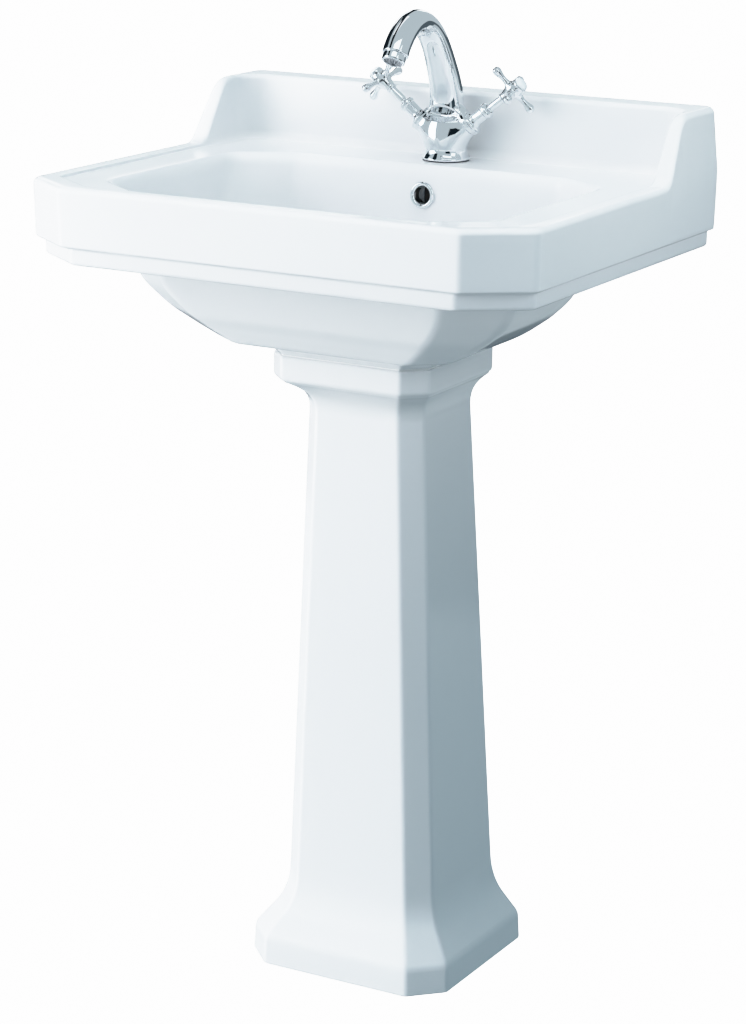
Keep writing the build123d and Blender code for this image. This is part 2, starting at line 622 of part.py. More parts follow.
def make_seat_seal():
    """Sealant between capital and foot, left out across the open back."""
    outer = extrude(foot_face(PEDESTAL_HEIGHT, -SEAL_MARGIN), SEAT_SEAL)
    inner = extrude(foot_face(PEDESTAL_HEIGHT, SEAL_MARGIN - FOOT_WALL), SEAT_SEAL)
    gap = box_between((-SLOT_TOP, 0, PEDESTAL_HEIGHT), (SLOT_TOP, BACK_Y, FOOT_Z))
    return outer - inner - gap


# --------------------------------------------------------------- overflow ring
def make_overflow_ring():
    """Chromed ring with a sleeve that fits the overflow hole."""
    sleeve_r = OVERFLOW_HOLE_R - FIT
    bore = sleeve_r - OVERFLOW_RING_WALL
    edge = OVERFLOW_RING_THICK / 2
    profile = [(bore, -OVERFLOW_SLEEVE), (sleeve_r, -OVERFLOW_SLEEVE), (sleeve_r, FIT),
               (OVERFLOW_RING_R, FIT), (OVERFLOW_RING_R, edge),
               (OVERFLOW_RING_R - edge, OVERFLOW_RING_THICK), (bore + edge, OVERFLOW_RING_THICK),
               (bore, edge)]
    return on_overflow(turned(profile))


# ----------------------------------------------------------------------- waste
FLANGE_LOW = RECESS_Z + WASTE_SEAL
FLANGE_TOP = FLANGE_LOW + WASTE_FLANGE_THICK
TAIL_LOW = FLOOR_Z - WASTE_TAIL
BUSH_HIGH = FLANGE_TOP - BUSH_DROP
BUSH_LOW = BUSH_HIGH - BUSH_LENGTH
NUT_TOP = WASTE_UNDERSIDE - UNDER_SEAL
PLUG_R = WASTE_FLANGE_R - PLUG_MARGIN
PLUG_SEAL_R = PLUG_R - PLUG_SEAL_INSET


def at_waste(shape):
    """Put a shape on the waste's axis."""
    return Pos(0, WASTE_Y, 0) * shape


def make_waste_body():
    """Flanged tube with overflow slots and a bush that guides the plug."""
    profile = [(WASTE_BORE_R, TAIL_LOW), (WASTE_R, TAIL_LOW), (WASTE_R, FLANGE_LOW),
               (WASTE_FLANGE_R, FLANGE_LOW), (WASTE_FLANGE_R, FLANGE_TOP - EDGE),
               (WASTE_FLANGE_R - 2 * EDGE, FLANGE_TOP), (WASTE_R + EDGE, FLANGE_TOP),
               (WASTE_BORE_R, FLANGE_TOP - WASTE_FLANGE_THICK)]
    bush_bore = STEM_R + RUNNING
    bush_r = bush_bore + BUSH_WALL
    body = turned(profile) + ring(bush_r, bush_bore, BUSH_LOW, BUSH_HIGH)
    reach = (WASTE_R + WASTE_BORE_R) / 2
    for turn in WEB_TURNS:
        web = box_between(((bush_r + bush_bore) / 2, -WEB_THICK / 2, BUSH_LOW),
                          (reach, WEB_THICK / 2, BUSH_HIGH))
        body += Rot(Z=turn) * web
    slot = box_between((-SLOT_WIDTH / 2, (bush_r + WASTE_BORE_R) / 2, CHANNEL_LOW),
                       (SLOT_WIDTH / 2, WASTE_R + OVERCUT, CHANNEL_LOW + SLOT_HEIGHT))
    for turn in SLOT_TURNS:
        body -= Rot(Z=turn) * slot
    return at_waste(body)


def make_waste_seal():
    return at_waste(ring(WASTE_FLANGE_R - SEAL_LIP, WASTE_HOLE_R + SEAL_LIP, RECESS_Z, FLANGE_LOW))


def make_under_seal():
    return at_waste(ring(THREAD_R + BACKNUT_WALL, THREAD_R, NUT_TOP, WASTE_UNDERSIDE))


def make_backnut():
    return at_waste(hexagon_nut(THREAD_R, BACKNUT_WALL, NUT_TOP - BACKNUT_HEIGHT, NUT_TOP))


def make_plug():
    """Domed plug on its stem, at rest just above the flange's seat."""
    low = FLANGE_TOP + 2 * PLUG_GAP
    groove_r = PLUG_SEAL_R - PLUG_SEAL_WIDTH
    groove_z = low + PLUG_SEAL_DEPTH
    profile = [(0, BUSH_LOW), (STEM_R, BUSH_LOW), (STEM_R, low), (groove_r, low),
               (groove_r, groove_z), (PLUG_SEAL_R, groove_z), (PLUG_SEAL_R, low),
               (PLUG_R - EDGE, low), (PLUG_R, low + EDGE), (PLUG_R, low + PLUG_RIM)]
    profile += [(PLUG_R * across, low + PLUG_RISE * up) for across, up in PLUG_DOME]
    return at_waste(turned(profile))


def make_plug_seal():
    low = FLANGE_TOP + PLUG_GAP
    high = low + PLUG_GAP + PLUG_SEAL_DEPTH
    return at_waste(ring(PLUG_SEAL_R, PLUG_SEAL_R - PLUG_SEAL_WIDTH, low, high))


# ------------------------------------------------------------------------ trap
SOCKET_R = OUTLET_R + FIT
SOCKET_THREAD_R = OUTLET_R + SOCKET_WALL
NECK_R = WASTE_R - NECK_STEP
DIP_BORE_R = NECK_R - NECK_WALL
WASHER_LOW = TAIL_LOW - TRAP_WASHER
NECK_LIP = WASHER_LOW - TRAP_LIP
HEAD_TOP = NECK_LIP - TRAP_NECK
OUTLET_Z = HEAD_TOP - TRAP_SHOULDER - SOCKET_THREAD_R
HEAD_LOW = OUTLET_Z - SOCKET_THREAD_R - TRAP_SKIRT
CUP_TOP = HEAD_LOW - TRAP_WASHER
CUP_LOW = CUP_TOP - TRAP_CUP
HEAD_BORE_R = TRAP_HEAD_R - TRAP_WALL
OUTLET_NUT_START = TRAP_HEAD_R + TRAP_COLLAR + NUT_ROOM
SOCKET_END = OUTLET_NUT_START + TRAP_NUT_HEIGHT - TRAP_LIP - TRAP_WASHER
PIPE_START = SOCKET_END - SOCKET_DEPTH
PIPE_BORE_R = OUTLET_R - PIPE_WALL
PIPE_END = BACK_Y - WASTE_Y - WALL_GAP


def make_trap_nut():
    """Union nut on the waste's tail, its inner lip under the neck's flange."""
    low = NECK_LIP - TRAP_LIP
    nut = hexagon_nut(NECK_R + 2 * FIT, TRAP_NUT_WALL + NECK_STEP - FIT, low, low + TRAP_NUT_HEIGHT)
    return at_waste(nut - disc(THREAD_R, NECK_LIP, low + TRAP_NUT_HEIGHT))


def make_trap_washer():
    return at_waste(ring(WASTE_R - FIT, WASTE_BORE_R, WASHER_LOW, TAIL_LOW))


def along_outlet(shape):
    """Turn a shape from +Z to +Y, starting on the trap's axis at the outlet's height."""
    return at_waste(Pos(0, 0, OUTLET_Z) * Rot(X=-90) * shape)


def make_trap_head():
    """Neck, head with its outlet socket, and the dip tube hanging inside."""
    dip_r = DIP_BORE_R + DIP_TUBE_WALL
    outline = [(DIP_BORE_R, WASHER_LOW), (WASTE_R - FIT, WASHER_LOW), (WASTE_R - FIT, NECK_LIP),
               (NECK_R, NECK_LIP), (NECK_R, HEAD_TOP), (TRAP_HEAD_R - 2 * EDGE, HEAD_TOP),
               (TRAP_HEAD_R, HEAD_TOP - 2 * EDGE), (TRAP_HEAD_R, HEAD_LOW), (HEAD_BORE_R, HEAD_LOW),
               (HEAD_BORE_R, HEAD_TOP - TRAP_WALL), (dip_r, HEAD_TOP - TRAP_WALL),
               (dip_r, HEAD_TOP - DIP_TUBE), (DIP_BORE_R, HEAD_TOP - DIP_TUBE)]
    socket_start = (dip_r + HEAD_BORE_R) / 2
    socket = disc(SOCKET_THREAD_R, socket_start, SOCKET_END)
    opening = disc(PIPE_BORE_R, socket_start, SOCKET_END) + disc(SOCKET_R, PIPE_START, SOCKET_END)
    chamber = at_waste(ring(HEAD_BORE_R, dip_r, HEAD_LOW, HEAD_TOP - TRAP_WALL))
    return at_waste(turned(outline)) + (along_outlet(socket) - chamber) - along_outlet(opening)


def make_trap_cup_seal():
    return at_waste(ring(TRAP_HEAD_R - FIT, HEAD_BORE_R + FIT, CUP_TOP, HEAD_LOW))


def make_trap_cup():
    """Screw-off bottle with a collar that runs up round the head's skirt."""
    collar_r = TRAP_HEAD_R + TRAP_COLLAR
    skirt_r = TRAP_HEAD_R + FIT
    collar_top = CUP_TOP + TRAP_COLLAR_HEIGHT / 2
    collar_low = CUP_TOP - TRAP_COLLAR_HEIGHT / 2
    profile = [(0, CUP_LOW), (TRAP_HEAD_R - CUP_BEVEL, CUP_LOW), (TRAP_HEAD_R, CUP_LOW + CUP_BEVEL),
               (TRAP_HEAD_R, collar_low), (collar_r, collar_low), (collar_r, collar_top),
               (skirt_r, collar_top), (skirt_r, CUP_TOP), (HEAD_BORE_R, CUP_TOP),
               (HEAD_BORE_R, CUP_LOW + CUP_BEVEL + EDGE),
               (HEAD_BORE_R - TRAP_WALL, CUP_LOW + TRAP_WALL), (0, CUP_LOW + TRAP_WALL)]
    return at_waste(turned(profile))


def make_outlet_washer():
    return along_outlet(ring(SOCKET_THREAD_R - FIT, SOCKET_R, SOCKET_END, SOCKET_END + TRAP_WASHER))


def make_outlet_nut():
    lip = SOCKET_END + TRAP_WASHER
    bore = SOCKET_THREAD_R + FIT
    wall = bore - SOCKET_R + TRAP_NUT_WALL
    nut = hexagon_nut(SOCKET_R, wall, OUTLET_NUT_START, lip + TRAP_LIP)
    return along_outlet(nut - disc(bore, OUTLET_NUT_START, lip))


def make_waste_pipe():
    """Pipe to the wall, slightly slimmer where its nut and socket hold it."""
    shoulder = SOCKET_END + TRAP_WASHER + TRAP_LIP
    spigot_r = OUTLET_R - PIPE_SPIGOT_STEP
    profile = [(PIPE_BORE_R, PIPE_START), (spigot_r, PIPE_START), (spigot_r, shoulder),
               (OUTLET_R, shoulder + PIPE_SPIGOT_STEP), (OUTLET_R, PIPE_END), (PIPE_BORE_R, PIPE_END)]
    return along_outlet(turned(profile))


# -------------------------------------------------------------------- tap body
ARM_FLANGE_R = VALVE_R + FIT + ARM_WALL
VALVE_START = ARM_LENGTH - VALVE_DEPTH
ARM_LEAN = math.radians(ARM_TILT)


def at_tap(shape):
    """Stand a shape on the tap's foot, over the tap hole."""
    return Pos(0, TAP_Y, TAP_Z) * shape


def along_arm(side, shape):
    """Lay a shape made along +Z on an arm's axis; side is -1 for hot, 1 for cold."""
    plane = Plane((0, TAP_Y, ARM_ROOT_Z), x_dir=(0, -1, 0),
                  z_dir=(side * math.cos(ARM_LEAN), 0, math.sin(ARM_LEAN)))
    return plane.location * shape


def spout_planes():
    """A plane square to the spout's centre line at each station."""
    points = [Vector(0, TAP_Y - reach, TAP_Z + height) for reach, height, _, _ in SPOUT_STATIONS]
    down = math.radians(SPOUT_TILT)
    planes = []
    for index, point in enumerate(points):
        if index == 0:
            ahead = Vector(0, 0, 1)
        elif index == len(points) - 1:
            ahead = Vector(0, -math.sin(down), -math.cos(down))
        else:
            ahead = points[index + 1] - points[index - 1]
        planes.append(Plane(point, x_dir=(1, 0, 0), z_dir=ahead))
    return planes


def spout_loft(shrink):
    """The spout's outside, or with a shrink its inside."""
    faces = [plane * Ellipse(width / 2 - shrink, thick / 2 - shrink)
             for plane, (_, _, width, thick) in zip(spout_planes(), SPOUT_STATIONS)]
    return loft(faces)


SPOUT_TIP_R = SPOUT_STATIONS[-1][3] / 2
NOZZLE_SEAT_R = SPOUT_TIP_R - SPOUT_WALL
NOZZLE_R = SPOUT_TIP_R - NOZZLE_STEP
NOZZLE_INNER_R = NOZZLE_SEAT_R - FIT - NOZZLE_WALL
AERATOR_R = NOZZLE_INNER_R + EDGE - FIT


def on_nozzle(shape):
    """Put a shape on the spout's tip, +Z running out of the nozzle."""
    return spout_planes()[-1].location * shape


def tap_casting():
    """The solid casting: flared foot, spout and two arms."""
    foot = [(0, 0), (TAP_FLANGE_R, 0)]
    foot += [(TAP_FLANGE_R + (TAP_WAIST_R - TAP_FLANGE_R) * share, height)
             for share, height in TAP_FLARE]
    foot += [(SPOUT_STATIONS[0][2] / 2, TAP_BODY_HEIGHT), (0, TAP_BODY_HEIGHT)]
    flange_low = ARM_LENGTH - ARM_FLANGE
    arm = [(0, ARM_START), (TAP_WAIST_R - ARM_ROOT_STEP, ARM_START),
           (ARM_FLANGE_R - ARM_NECK, flange_low - EDGE), (ARM_FLANGE_R, flange_low),
           (ARM_FLANGE_R, ARM_LENGTH - EDGE), (ARM_FLANGE_R - EDGE, ARM_LENGTH), (0, ARM_LENGTH)]
    casting = at_tap(turned(foot)) + spout_loft(0)
    for side in (-1, 1):
        casting += along_arm(side, turned(arm))
    return casting


def make_tap_body():
    """Casting bored for the valves, the tails, the stud and the water's way."""
    body = tap_casting() - spout_loft(SPOUT_WALL)
    body -= on_nozzle(disc(NOZZLE_SEAT_R, -NOZZLE_SPIGOT - FIT, OVERCUT))
    body -= at_tap(disc(TAP_WAIST_R / 2, ARM_ROOT + VALVE_R, TAP_BODY_HEIGHT + SPOUT_WALL))
    mixing = Vector(0, TAP_Y, ARM_ROOT_Z + 2 * VALVE_R)
    inlet_reach = VALVE_START + VALVE_INLET
    for side in (-1, 1):
        body -= along_arm(side, disc(VALVE_R + FIT, VALVE_START, ARM_LENGTH + OVERCUT))
        port = Vector(side * TAIL_X, TAP_Y + TAIL_Y, TAP_Z)
        body -= bar(port - Vector(0, 0, OVERCUT), port + Vector(0, 0, TAIL_DEPTH), TAIL_R + FIT)
        inlet = Vector(side * inlet_reach * math.cos(ARM_LEAN), TAP_Y,
                       ARM_ROOT_Z + inlet_reach * math.sin(ARM_LEAN))
        body -= bar(port + Vector(0, 0, TAIL_DEPTH - OVERCUT), inlet, WATERWAY_R)
        body -= bar(inlet, mixing, WATERWAY_R)
    body -= at_tap(Pos(0, STUD_Y, 0) * disc(STUD_R + FIT, -OVERCUT, STUD_DEPTH))
    return body


def make_tap_seal():
    return at_tap(ring(TAP_FLANGE_R - SEAL_LIP, TAP_HOLE_R + SEAL_LIP, -TAP_SEAL, 0))


def make_nozzle():
    """Aerator housing: a spigot up inside the spout and a short collar below it."""
    spigot_r = NOZZLE_SEAT_R - FIT
    recess_r = NOZZLE_INNER_R + EDGE
    profile = [(NOZZLE_INNER_R, -NOZZLE_SPIGOT), (spigot_r, -NOZZLE_SPIGOT), (spigot_r, 0),
               (NOZZLE_R, 0), (NOZZLE_R, NOZZLE_LENGTH - EDGE), (NOZZLE_R - EDGE, NOZZLE_LENGTH),
               (recess_r, NOZZLE_LENGTH), (recess_r, NOZZLE_SHELF), (NOZZLE_INNER_R, NOZZLE_SHELF)]
    return on_nozzle(turned(profile))


def make_nozzle_washer():
    high = NOZZLE_SHELF + NOZZLE_WASHER
    return on_nozzle(ring(AERATOR_R, AERATOR_R - 2 * EDGE, NOZZLE_SHELF, high))


def make_aerator():
    """Honeycomb disc that breaks up the stream."""
    disc_face = Circle(AERATOR_R)
    rings = math.ceil(AERATOR_R / AERATOR_PITCH)
    for row in range(-rings, rings + 1):
        for column in range(-2 * rings, 2 * rings + 1):
            x = (column + row / 2) * AERATOR_PITCH
            y = row * AERATOR_PITCH * math.sin(math.radians(60))
            if math.hypot(x, y) + AERATOR_HOLE_R < AERATOR_R - AERATOR_RIM:
                disc_face -= Pos(x, y) * RegularPolygon(AERATOR_HOLE_R, 6)
    low = NOZZLE_SHELF + NOZZLE_WASHER
    return on_nozzle(Pos(0, 0, low) * extrude(disc_face, AERATOR_THICK))


# ------------------------------------------------------------ valves and handles
VALVE_STEM_R = SPINDLE_R + VALVE_STEM_WALL
BONNET_BORE_R = VALVE_STEM_R + FIT
BONNET_R = BONNET_BORE_R + BONNET_WALL
BONNET_END = ARM_LENGTH + BONNET_LENGTH
VALVE_TOP = BONNET_END - GLAND_LENGTH - VALVE_GAP
SPINDLE_FOOT_R = SPINDLE_R - SPINDLE_FOOT_STEP
HUB_R = CAP_R + HUB_WALL
HUB_BORE_R = SPINDLE_R + FIT
HUB_START = BONNET_END + SPINDLE_SHOWN
HUB_CENTRE = HUB_START + HUB_RISE
HUB_END = HUB_CENTRE + HUB_OUTER
CUP_FLOOR = HUB_CENTRE + CUP_SETBACK
CUP_R = CAP_R - CAP_OVERHANG
SPINDLE_END = CUP_FLOOR - SCREW_SEAT


def make_bonnet(side):
    """Chromed shroud over the valve, with a gland that the spindle turns in."""
    spindle_bore = SPINDLE_R + RUNNING
    flange_r = BONNET_R + BONNET_FLANGE_LIP
    flange_top = ARM_LENGTH + BONNET_FLANGE
    ring_r = BONNET_R + BONNET_RING_LIP
    ring_high = BONNET_END - BONNET_NOSE
    ring_low = ring_high - BONNET_RING
    gland = BONNET_END - GLAND_LENGTH
    profile = [(BONNET_BORE_R, ARM_LENGTH), (flange_r, ARM_LENGTH), (flange_r, flange_top),
               (BONNET_R + EDGE, flange_top + BONNET_FLARE / 2),
               (BONNET_R, flange_top + BONNET_FLARE), (BONNET_R, ring_low - EDGE),
               (ring_r, ring_low), (ring_r, ring_high - EDGE), (BONNET_R - EDGE, ring_high),
               (BONNET_R - BONNET_TIP_STEP, BONNET_END), (spindle_bore, BONNET_END),
               (spindle_bore, gland), (BONNET_BORE_R, gland)]
    return along_arm(side, turned(profile))


def make_valve(side):
    """Ceramic-disc cartridge with a blind bore for the spindle's foot."""
    step = ARM_LENGTH - FIT
    foot_bore = SPINDLE_FOOT_R + RUNNING
    profile = [(0, VALVE_START + FIT), (VALVE_R, VALVE_START + FIT), (VALVE_R, step),
               (VALVE_STEM_R, step), (VALVE_STEM_R, VALVE_TOP), (foot_bore, VALVE_TOP),
               (foot_bore, step), (0, step)]
    return along_arm(side, turned(profile))


def make_spindle(side):
    """Spindle, bored at its outer end for the handle's screw."""
    low = ARM_LENGTH - FIT + SPINDLE_PLAY
    shoulder = VALVE_TOP + SPINDLE_PLAY
    tapping_r = SCREW_R + FIT / 2
    tapping_low = SPINDLE_END - SPINDLE_TAPPING
    profile = [(0, low), (SPINDLE_FOOT_R, low), (SPINDLE_FOOT_R, shoulder), (SPINDLE_R, shoulder),
               (SPINDLE_R, SPINDLE_END), (tapping_r, SPINDLE_END), (tapping_r, tapping_low),
               (0, tapping_low)]
    return along_arm(side, turned(profile))


def spoke():
    """One spoke with its rounded end, pointing up from the hub's middle."""
    ball = SPOKE_REACH - SPOKE_BALL_R
    neck_low, neck_high = SPOKE_NECK
    root_r = SPOKE_NECK_R + SPOKE_ROOT
    profile = [(0, HUB_R / 2), (root_r, HUB_R / 2), (SPOKE_NECK_R, HUB_R + neck_low),
               (SPOKE_NECK_R, HUB_R + neck_high)]
    for turn in range(-30, 90, 30):
        angle = math.radians(turn)
        profile.append((SPOKE_BALL_R * math.cos(angle), ball + SPOKE_BALL_R * math.sin(angle)))
    return turned(profile + [(0, SPOKE_REACH)])


def make_handle(side):
    """Cross handle; its hub is bored for the spindle, screw and index cap."""
    throat = HUB_BORE_R + HUB_THROAT_WALL
    collar = throat + HUB_COLLAR_STEP
    lip_r = CAP_R + HUB_LIP
    outline = [(0, HUB_START), (collar, HUB_START), (collar, HUB_START + HUB_COLLAR)]
    outline += [(throat + (HUB_R - throat) * share, HUB_START + along) for share, along in HUB_FLARE]
    outline += [(HUB_R, HUB_END - HUB_SHOULDER), (lip_r, HUB_END - EDGE), (lip_r, HUB_END),
                (0, HUB_END)]
    handle = turned(outline)
    for turn in SPOKE_TURNS:
        handle += Pos(0, 0, HUB_CENTRE) * Rot(Z=turn + side * HANDLE_TWIST) * Rot(Y=90) * spoke()
    handle -= disc(HUB_BORE_R, HUB_START, SPINDLE_END)
    handle -= disc(SCREW_R + FIT, HUB_START, HUB_END)
    handle -= disc(CUP_R, CUP_FLOOR, HUB_END)
    return along_arm(side, handle)


def make_handle_screw(side):
    low = CUP_FLOOR - SCREW_LENGTH
    high = CUP_FLOOR + SCREW_HEAD
    profile = [(0, low), (SCREW_R, low), (SCREW_R, CUP_FLOOR), (SCREW_HEAD_R, CUP_FLOOR),
               (SCREW_HEAD_R, high), (0, high)]
    return along_arm(side, turned(profile))


def make_index_cap(side):
    """Domed porcelain cap pressed into the hub's outer end."""
    plug_r = CUP_R - FIT
    plug_low = CUP_FLOOR + SCREW_HEAD + CAP_AIR
    dome = []
    for step in range(CAP_STEPS):
        turn = math.radians(90 * step / CAP_STEPS)
        dome.append((CAP_R * math.cos(turn), HUB_END + CAP_RISE * math.sin(turn)))
    profile = [(0, plug_low), (plug_r, plug_low), (plug_r, HUB_END)]
    return along_arm(side, turned(profile + dome + [(0, HUB_END + CAP_RISE)]))


# ------------------------------------------------------------ tap fixing and tails
SHOE_TOP = DECK_Z - CHINA
SHOE_JOINT = SHOE_TOP - SHOE_RUBBER
SHOE_LOW = SHOE_JOINT - SHOE_METAL


def shoe(low, high):
    """Horseshoe washer under the deck, open at the front for the tails."""
    slot_half = TAIL_X + TAIL_R + SHOE_GAP
    slot_back = TAIL_Y + TAIL_R + SHOE_GAP
    slot = box_between((-slot_half, -SHOE_R - OVERCUT, low), (slot_half, slot_back, high))
    hole = Pos(0, STUD_Y, 0) * disc(STUD_R + FIT, low, high)
    return Pos(0, TAP_Y, 0) * (disc(SHOE_R, low, high) - slot - hole)


def make_stud():
    high = TAP_Z + STUD_DEPTH
    return Pos(0, TAP_Y + STUD_Y, 0) * disc(STUD_R, high - STUD_LENGTH, high)


def make_stud_nut():
    nut = hexagon_nut(STUD_R + FIT, STUD_NUT_WALL, SHOE_LOW - STUD_NUT_HEIGHT, SHOE_LOW)
    return Pos(0, TAP_Y + STUD_Y, 0) * nut


def make_tail(side):
    """Copper tail: down through the tap hole, out to one side, then down again."""
    y = TAP_Y + TAIL_Y
    top = TAP_Z + TAIL_DEPTH
    bend_high = SHOE_TOP - TAIL_BEND_DROP
    bend_low = bend_high - TAIL_BEND_FALL
    route = [(side * TAIL_X, y, top), (side * TAIL_X, y, bend_high),
             (side * TAIL_SPREAD, y, bend_low), (side * TAIL_SPREAD, y, SHOE_TOP - TAIL_LENGTH)]
    path = FilletPolyline(*route, radius=TAIL_BEND_R)
    section = Plane((side * TAIL_X, y, top), z_dir=(0, 0, -1))
    return sweep(section * (Circle(TAIL_R) - Circle(TAIL_R - TAIL_WALL)), path=path)


# ---------------------------------------------------------------------- export
def all_pieces():
    """Every node's name and solid."""
    pieces = {
        "basin": make_basin(),
        "pedestal": make_pedestal(),
        "pedestal_seal": make_seat_seal(),
        "overflow_ring": make_overflow_ring(),
        "waste_body": make_waste_body(),
        "waste_flange_seal": make_waste_seal(),
        "waste_under_seal": make_under_seal(),
        "waste_backnut": make_backnut(),
        "waste_plug": make_plug(),
        "waste_plug_seal": make_plug_seal(),
        "trap_inlet_nut": make_trap_nut(),
        "trap_inlet_washer": make_trap_washer(),
        "trap_head": make_trap_head(),
        "trap_cup": make_trap_cup(),
        "trap_cup_seal": make_trap_cup_seal(),
        "trap_outlet_nut": make_outlet_nut(),
        "trap_outlet_washer": make_outlet_washer(),
        "waste_pipe": make_waste_pipe(),
        "tap_body": make_tap_body(),
        "tap_base_seal": make_tap_seal(),
        "nozzle_housing": make_nozzle(),
        "nozzle_washer": make_nozzle_washer(),
        "aerator_disc": make_aerator(),
        "tap_stud": make_stud(),
        "tap_stud_nut": make_stud_nut(),
        "tap_shoe_rubber": shoe(SHOE_JOINT, SHOE_TOP),
        "tap_shoe_plate": shoe(SHOE_LOW, SHOE_JOINT),
    }
    for name, side in (("hot", -1), ("cold", 1)):
        pieces[name + "_tail"] = make_tail(side)
        pieces[name + "_valve"] = make_valve(side)
        pieces[name + "_bonnet"] = make_bonnet(side)
        pieces[name + "_spindle"] = make_spindle(side)
        pieces[name + "_handle"] = make_handle(side)
        pieces[name + "_handle_screw"] = make_handle_screw(side)
        pieces[name + "_index_cap"] = make_index_cap(side)
    return pieces


os.makedirs("parts", exist_ok=True)
for node, shape in all_pieces().items():
    export_step(shape, "parts/" + node + ".step")
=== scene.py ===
import json
import math

import bmesh
import bpy
import numpy as np
from mathutils import Matrix, Vector


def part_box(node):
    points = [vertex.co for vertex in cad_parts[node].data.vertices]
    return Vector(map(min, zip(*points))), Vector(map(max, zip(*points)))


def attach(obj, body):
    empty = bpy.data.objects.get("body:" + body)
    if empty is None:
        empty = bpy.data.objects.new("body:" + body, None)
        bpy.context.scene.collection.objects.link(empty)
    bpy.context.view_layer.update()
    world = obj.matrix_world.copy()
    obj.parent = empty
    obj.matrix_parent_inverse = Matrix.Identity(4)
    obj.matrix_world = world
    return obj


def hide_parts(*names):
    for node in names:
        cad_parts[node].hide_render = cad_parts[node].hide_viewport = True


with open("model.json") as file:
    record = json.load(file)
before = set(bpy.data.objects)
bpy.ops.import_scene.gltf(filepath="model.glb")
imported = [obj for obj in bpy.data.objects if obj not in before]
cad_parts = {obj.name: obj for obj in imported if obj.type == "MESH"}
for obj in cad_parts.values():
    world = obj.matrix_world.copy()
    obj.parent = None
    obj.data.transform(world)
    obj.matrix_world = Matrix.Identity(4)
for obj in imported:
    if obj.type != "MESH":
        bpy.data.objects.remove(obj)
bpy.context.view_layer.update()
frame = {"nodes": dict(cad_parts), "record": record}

# A pedestal sink in white china with a chrome mixer tap. Sizes are in millimetres here and
# the meshes, the lamps and the camera in metres, in the frame of the model: +Z up, +Y to the
# wall, the origin on the floor in the middle of the footprint.

MM = 0.001
FINE = 0.7  # voxel of the polished castings
CHINA_SHARP = 50  # angle from which an edge of the china shows sharp


# ---- places from the frame
def node_box(name):
    """Lowest and highest corner of a CAD node, in millimetres."""
    low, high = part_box(name)
    return low / MM, high / MM


basin_low, basin_high = node_box("basin")
seal_low, seal_high = node_box("tap_base_seal")
waste_low, waste_high = node_box("waste_body")
BASIN_HALF = basin_high.x
FRONT_Y = basin_low.y
BACK_Y = basin_high.y
TOP_Z = basin_high.z
FOOT_Z = basin_low.z
PEDESTAL_TOP = node_box("pedestal")[1].z
TAP_Y = (seal_low.y + seal_high.y) / 2
TAP_Z = seal_high.z
DECK_Z = seal_low.z
WASTE_Y = (waste_low.y + waste_high.y) / 2

# ---- basin's sizes
RIM_Z = DECK_Z + 3.5
FASCIA_Z = RIM_Z - 60
BAND_Z = FASCIA_Z - 18
BELLY_Z = FOOT_Z + 10
FLOOR_Z = FOOT_Z + 25
CORNER_CUT = (60, 42)
CORNER_R = 12  # rounding of the fascia's upright edges
REAR_CORNER_R = 7
FASCIA_DRAFT = 1.5
BAND_INSET = 8.5
BAND_BACK = 0.4  # the band's step at the back, against the wall
BAND_EDGE = 4.5  # rounding of the band's lower edge
FASCIA_EDGE = 3.2  # rounding of the fascia's lower edge
SKIRT_R = 6  # hollow between the skirt and the deck's underside
SKIRT_EDGE = 2.5  # hollow between the skirt and the band
SKIRT_CORNER_R = 10
CHINA = 12
LIP = 20
LIP_EDGE_R = 6
UPSTAND = 36
WING_FOOT_Y = BACK_Y - 124
WING_TOP_Y = BACK_Y - 82
WING_FOOT_REACH = 12
WING_TOP_REACH = 15
WING_LEAN = 7
WING_CORNER_R = 28
INNER_EDGE_R = 5
COVE_R = 9  # hollow between deck and lip or splashback
MOUTH_SIDE = 68
MOUTH_FRONT = 42
MOUTH_FROM_TAP = 48
MOUTH_CUT = (58, 40)
MOUTH_REAR_CUT = 34
MOUTH_R = 22  # rounding of the mouth's corners
MOUTH_SPREAD = 8  # the mouth's rounded edge, on the deck
RECESS_R = 33.2
RECESS = 3
WASTE_HOLE_R = 23
BOSS_R = 37
BOSS_DROP = 5
FLOOR_SPREAD = 16.8
FLOOR_BEHIND = 2.8
FOOT_FLARE = 4
FOOT_WALL = 15
DUCT_HALF = 14
DUCT_DEPTH = 13
DUCT_SKIN = 5
DUCT_LOW = FOOT_Z + 5
DUCT_TOP = DECK_Z - 15
DUCT_BACK = TAP_Y - MOUTH_FROM_TAP + CHINA + DUCT_DEPTH
# The back of the overflow's block from its foot up, as Y and Z.
DUCT_REAR = [(DUCT_BACK - 40, DUCT_LOW), (DUCT_BACK - 12, FLOOR_Z - 6), (DUCT_BACK - 4, FLOOR_Z + 30),
             (DUCT_BACK - 1, FLOOR_Z + 80), (DUCT_BACK, DUCT_TOP)]
WALL_HOLE = (140, RIM_Z - 45, 6)  # place along X and Z, and radius
# The bowl's wall at the mouth and at its foot: half width, front and back.
WALL_TOP = (BASIN_HALF - MOUTH_SIDE, FRONT_Y + MOUTH_FRONT, TAP_Y - MOUTH_FROM_TAP)
WALL_LOW = (RECESS_R + FLOOR_SPREAD, WASTE_Y - RECESS_R - FLOOR_SPREAD, WASTE_Y + RECESS_R + FLOOR_BEHIND)
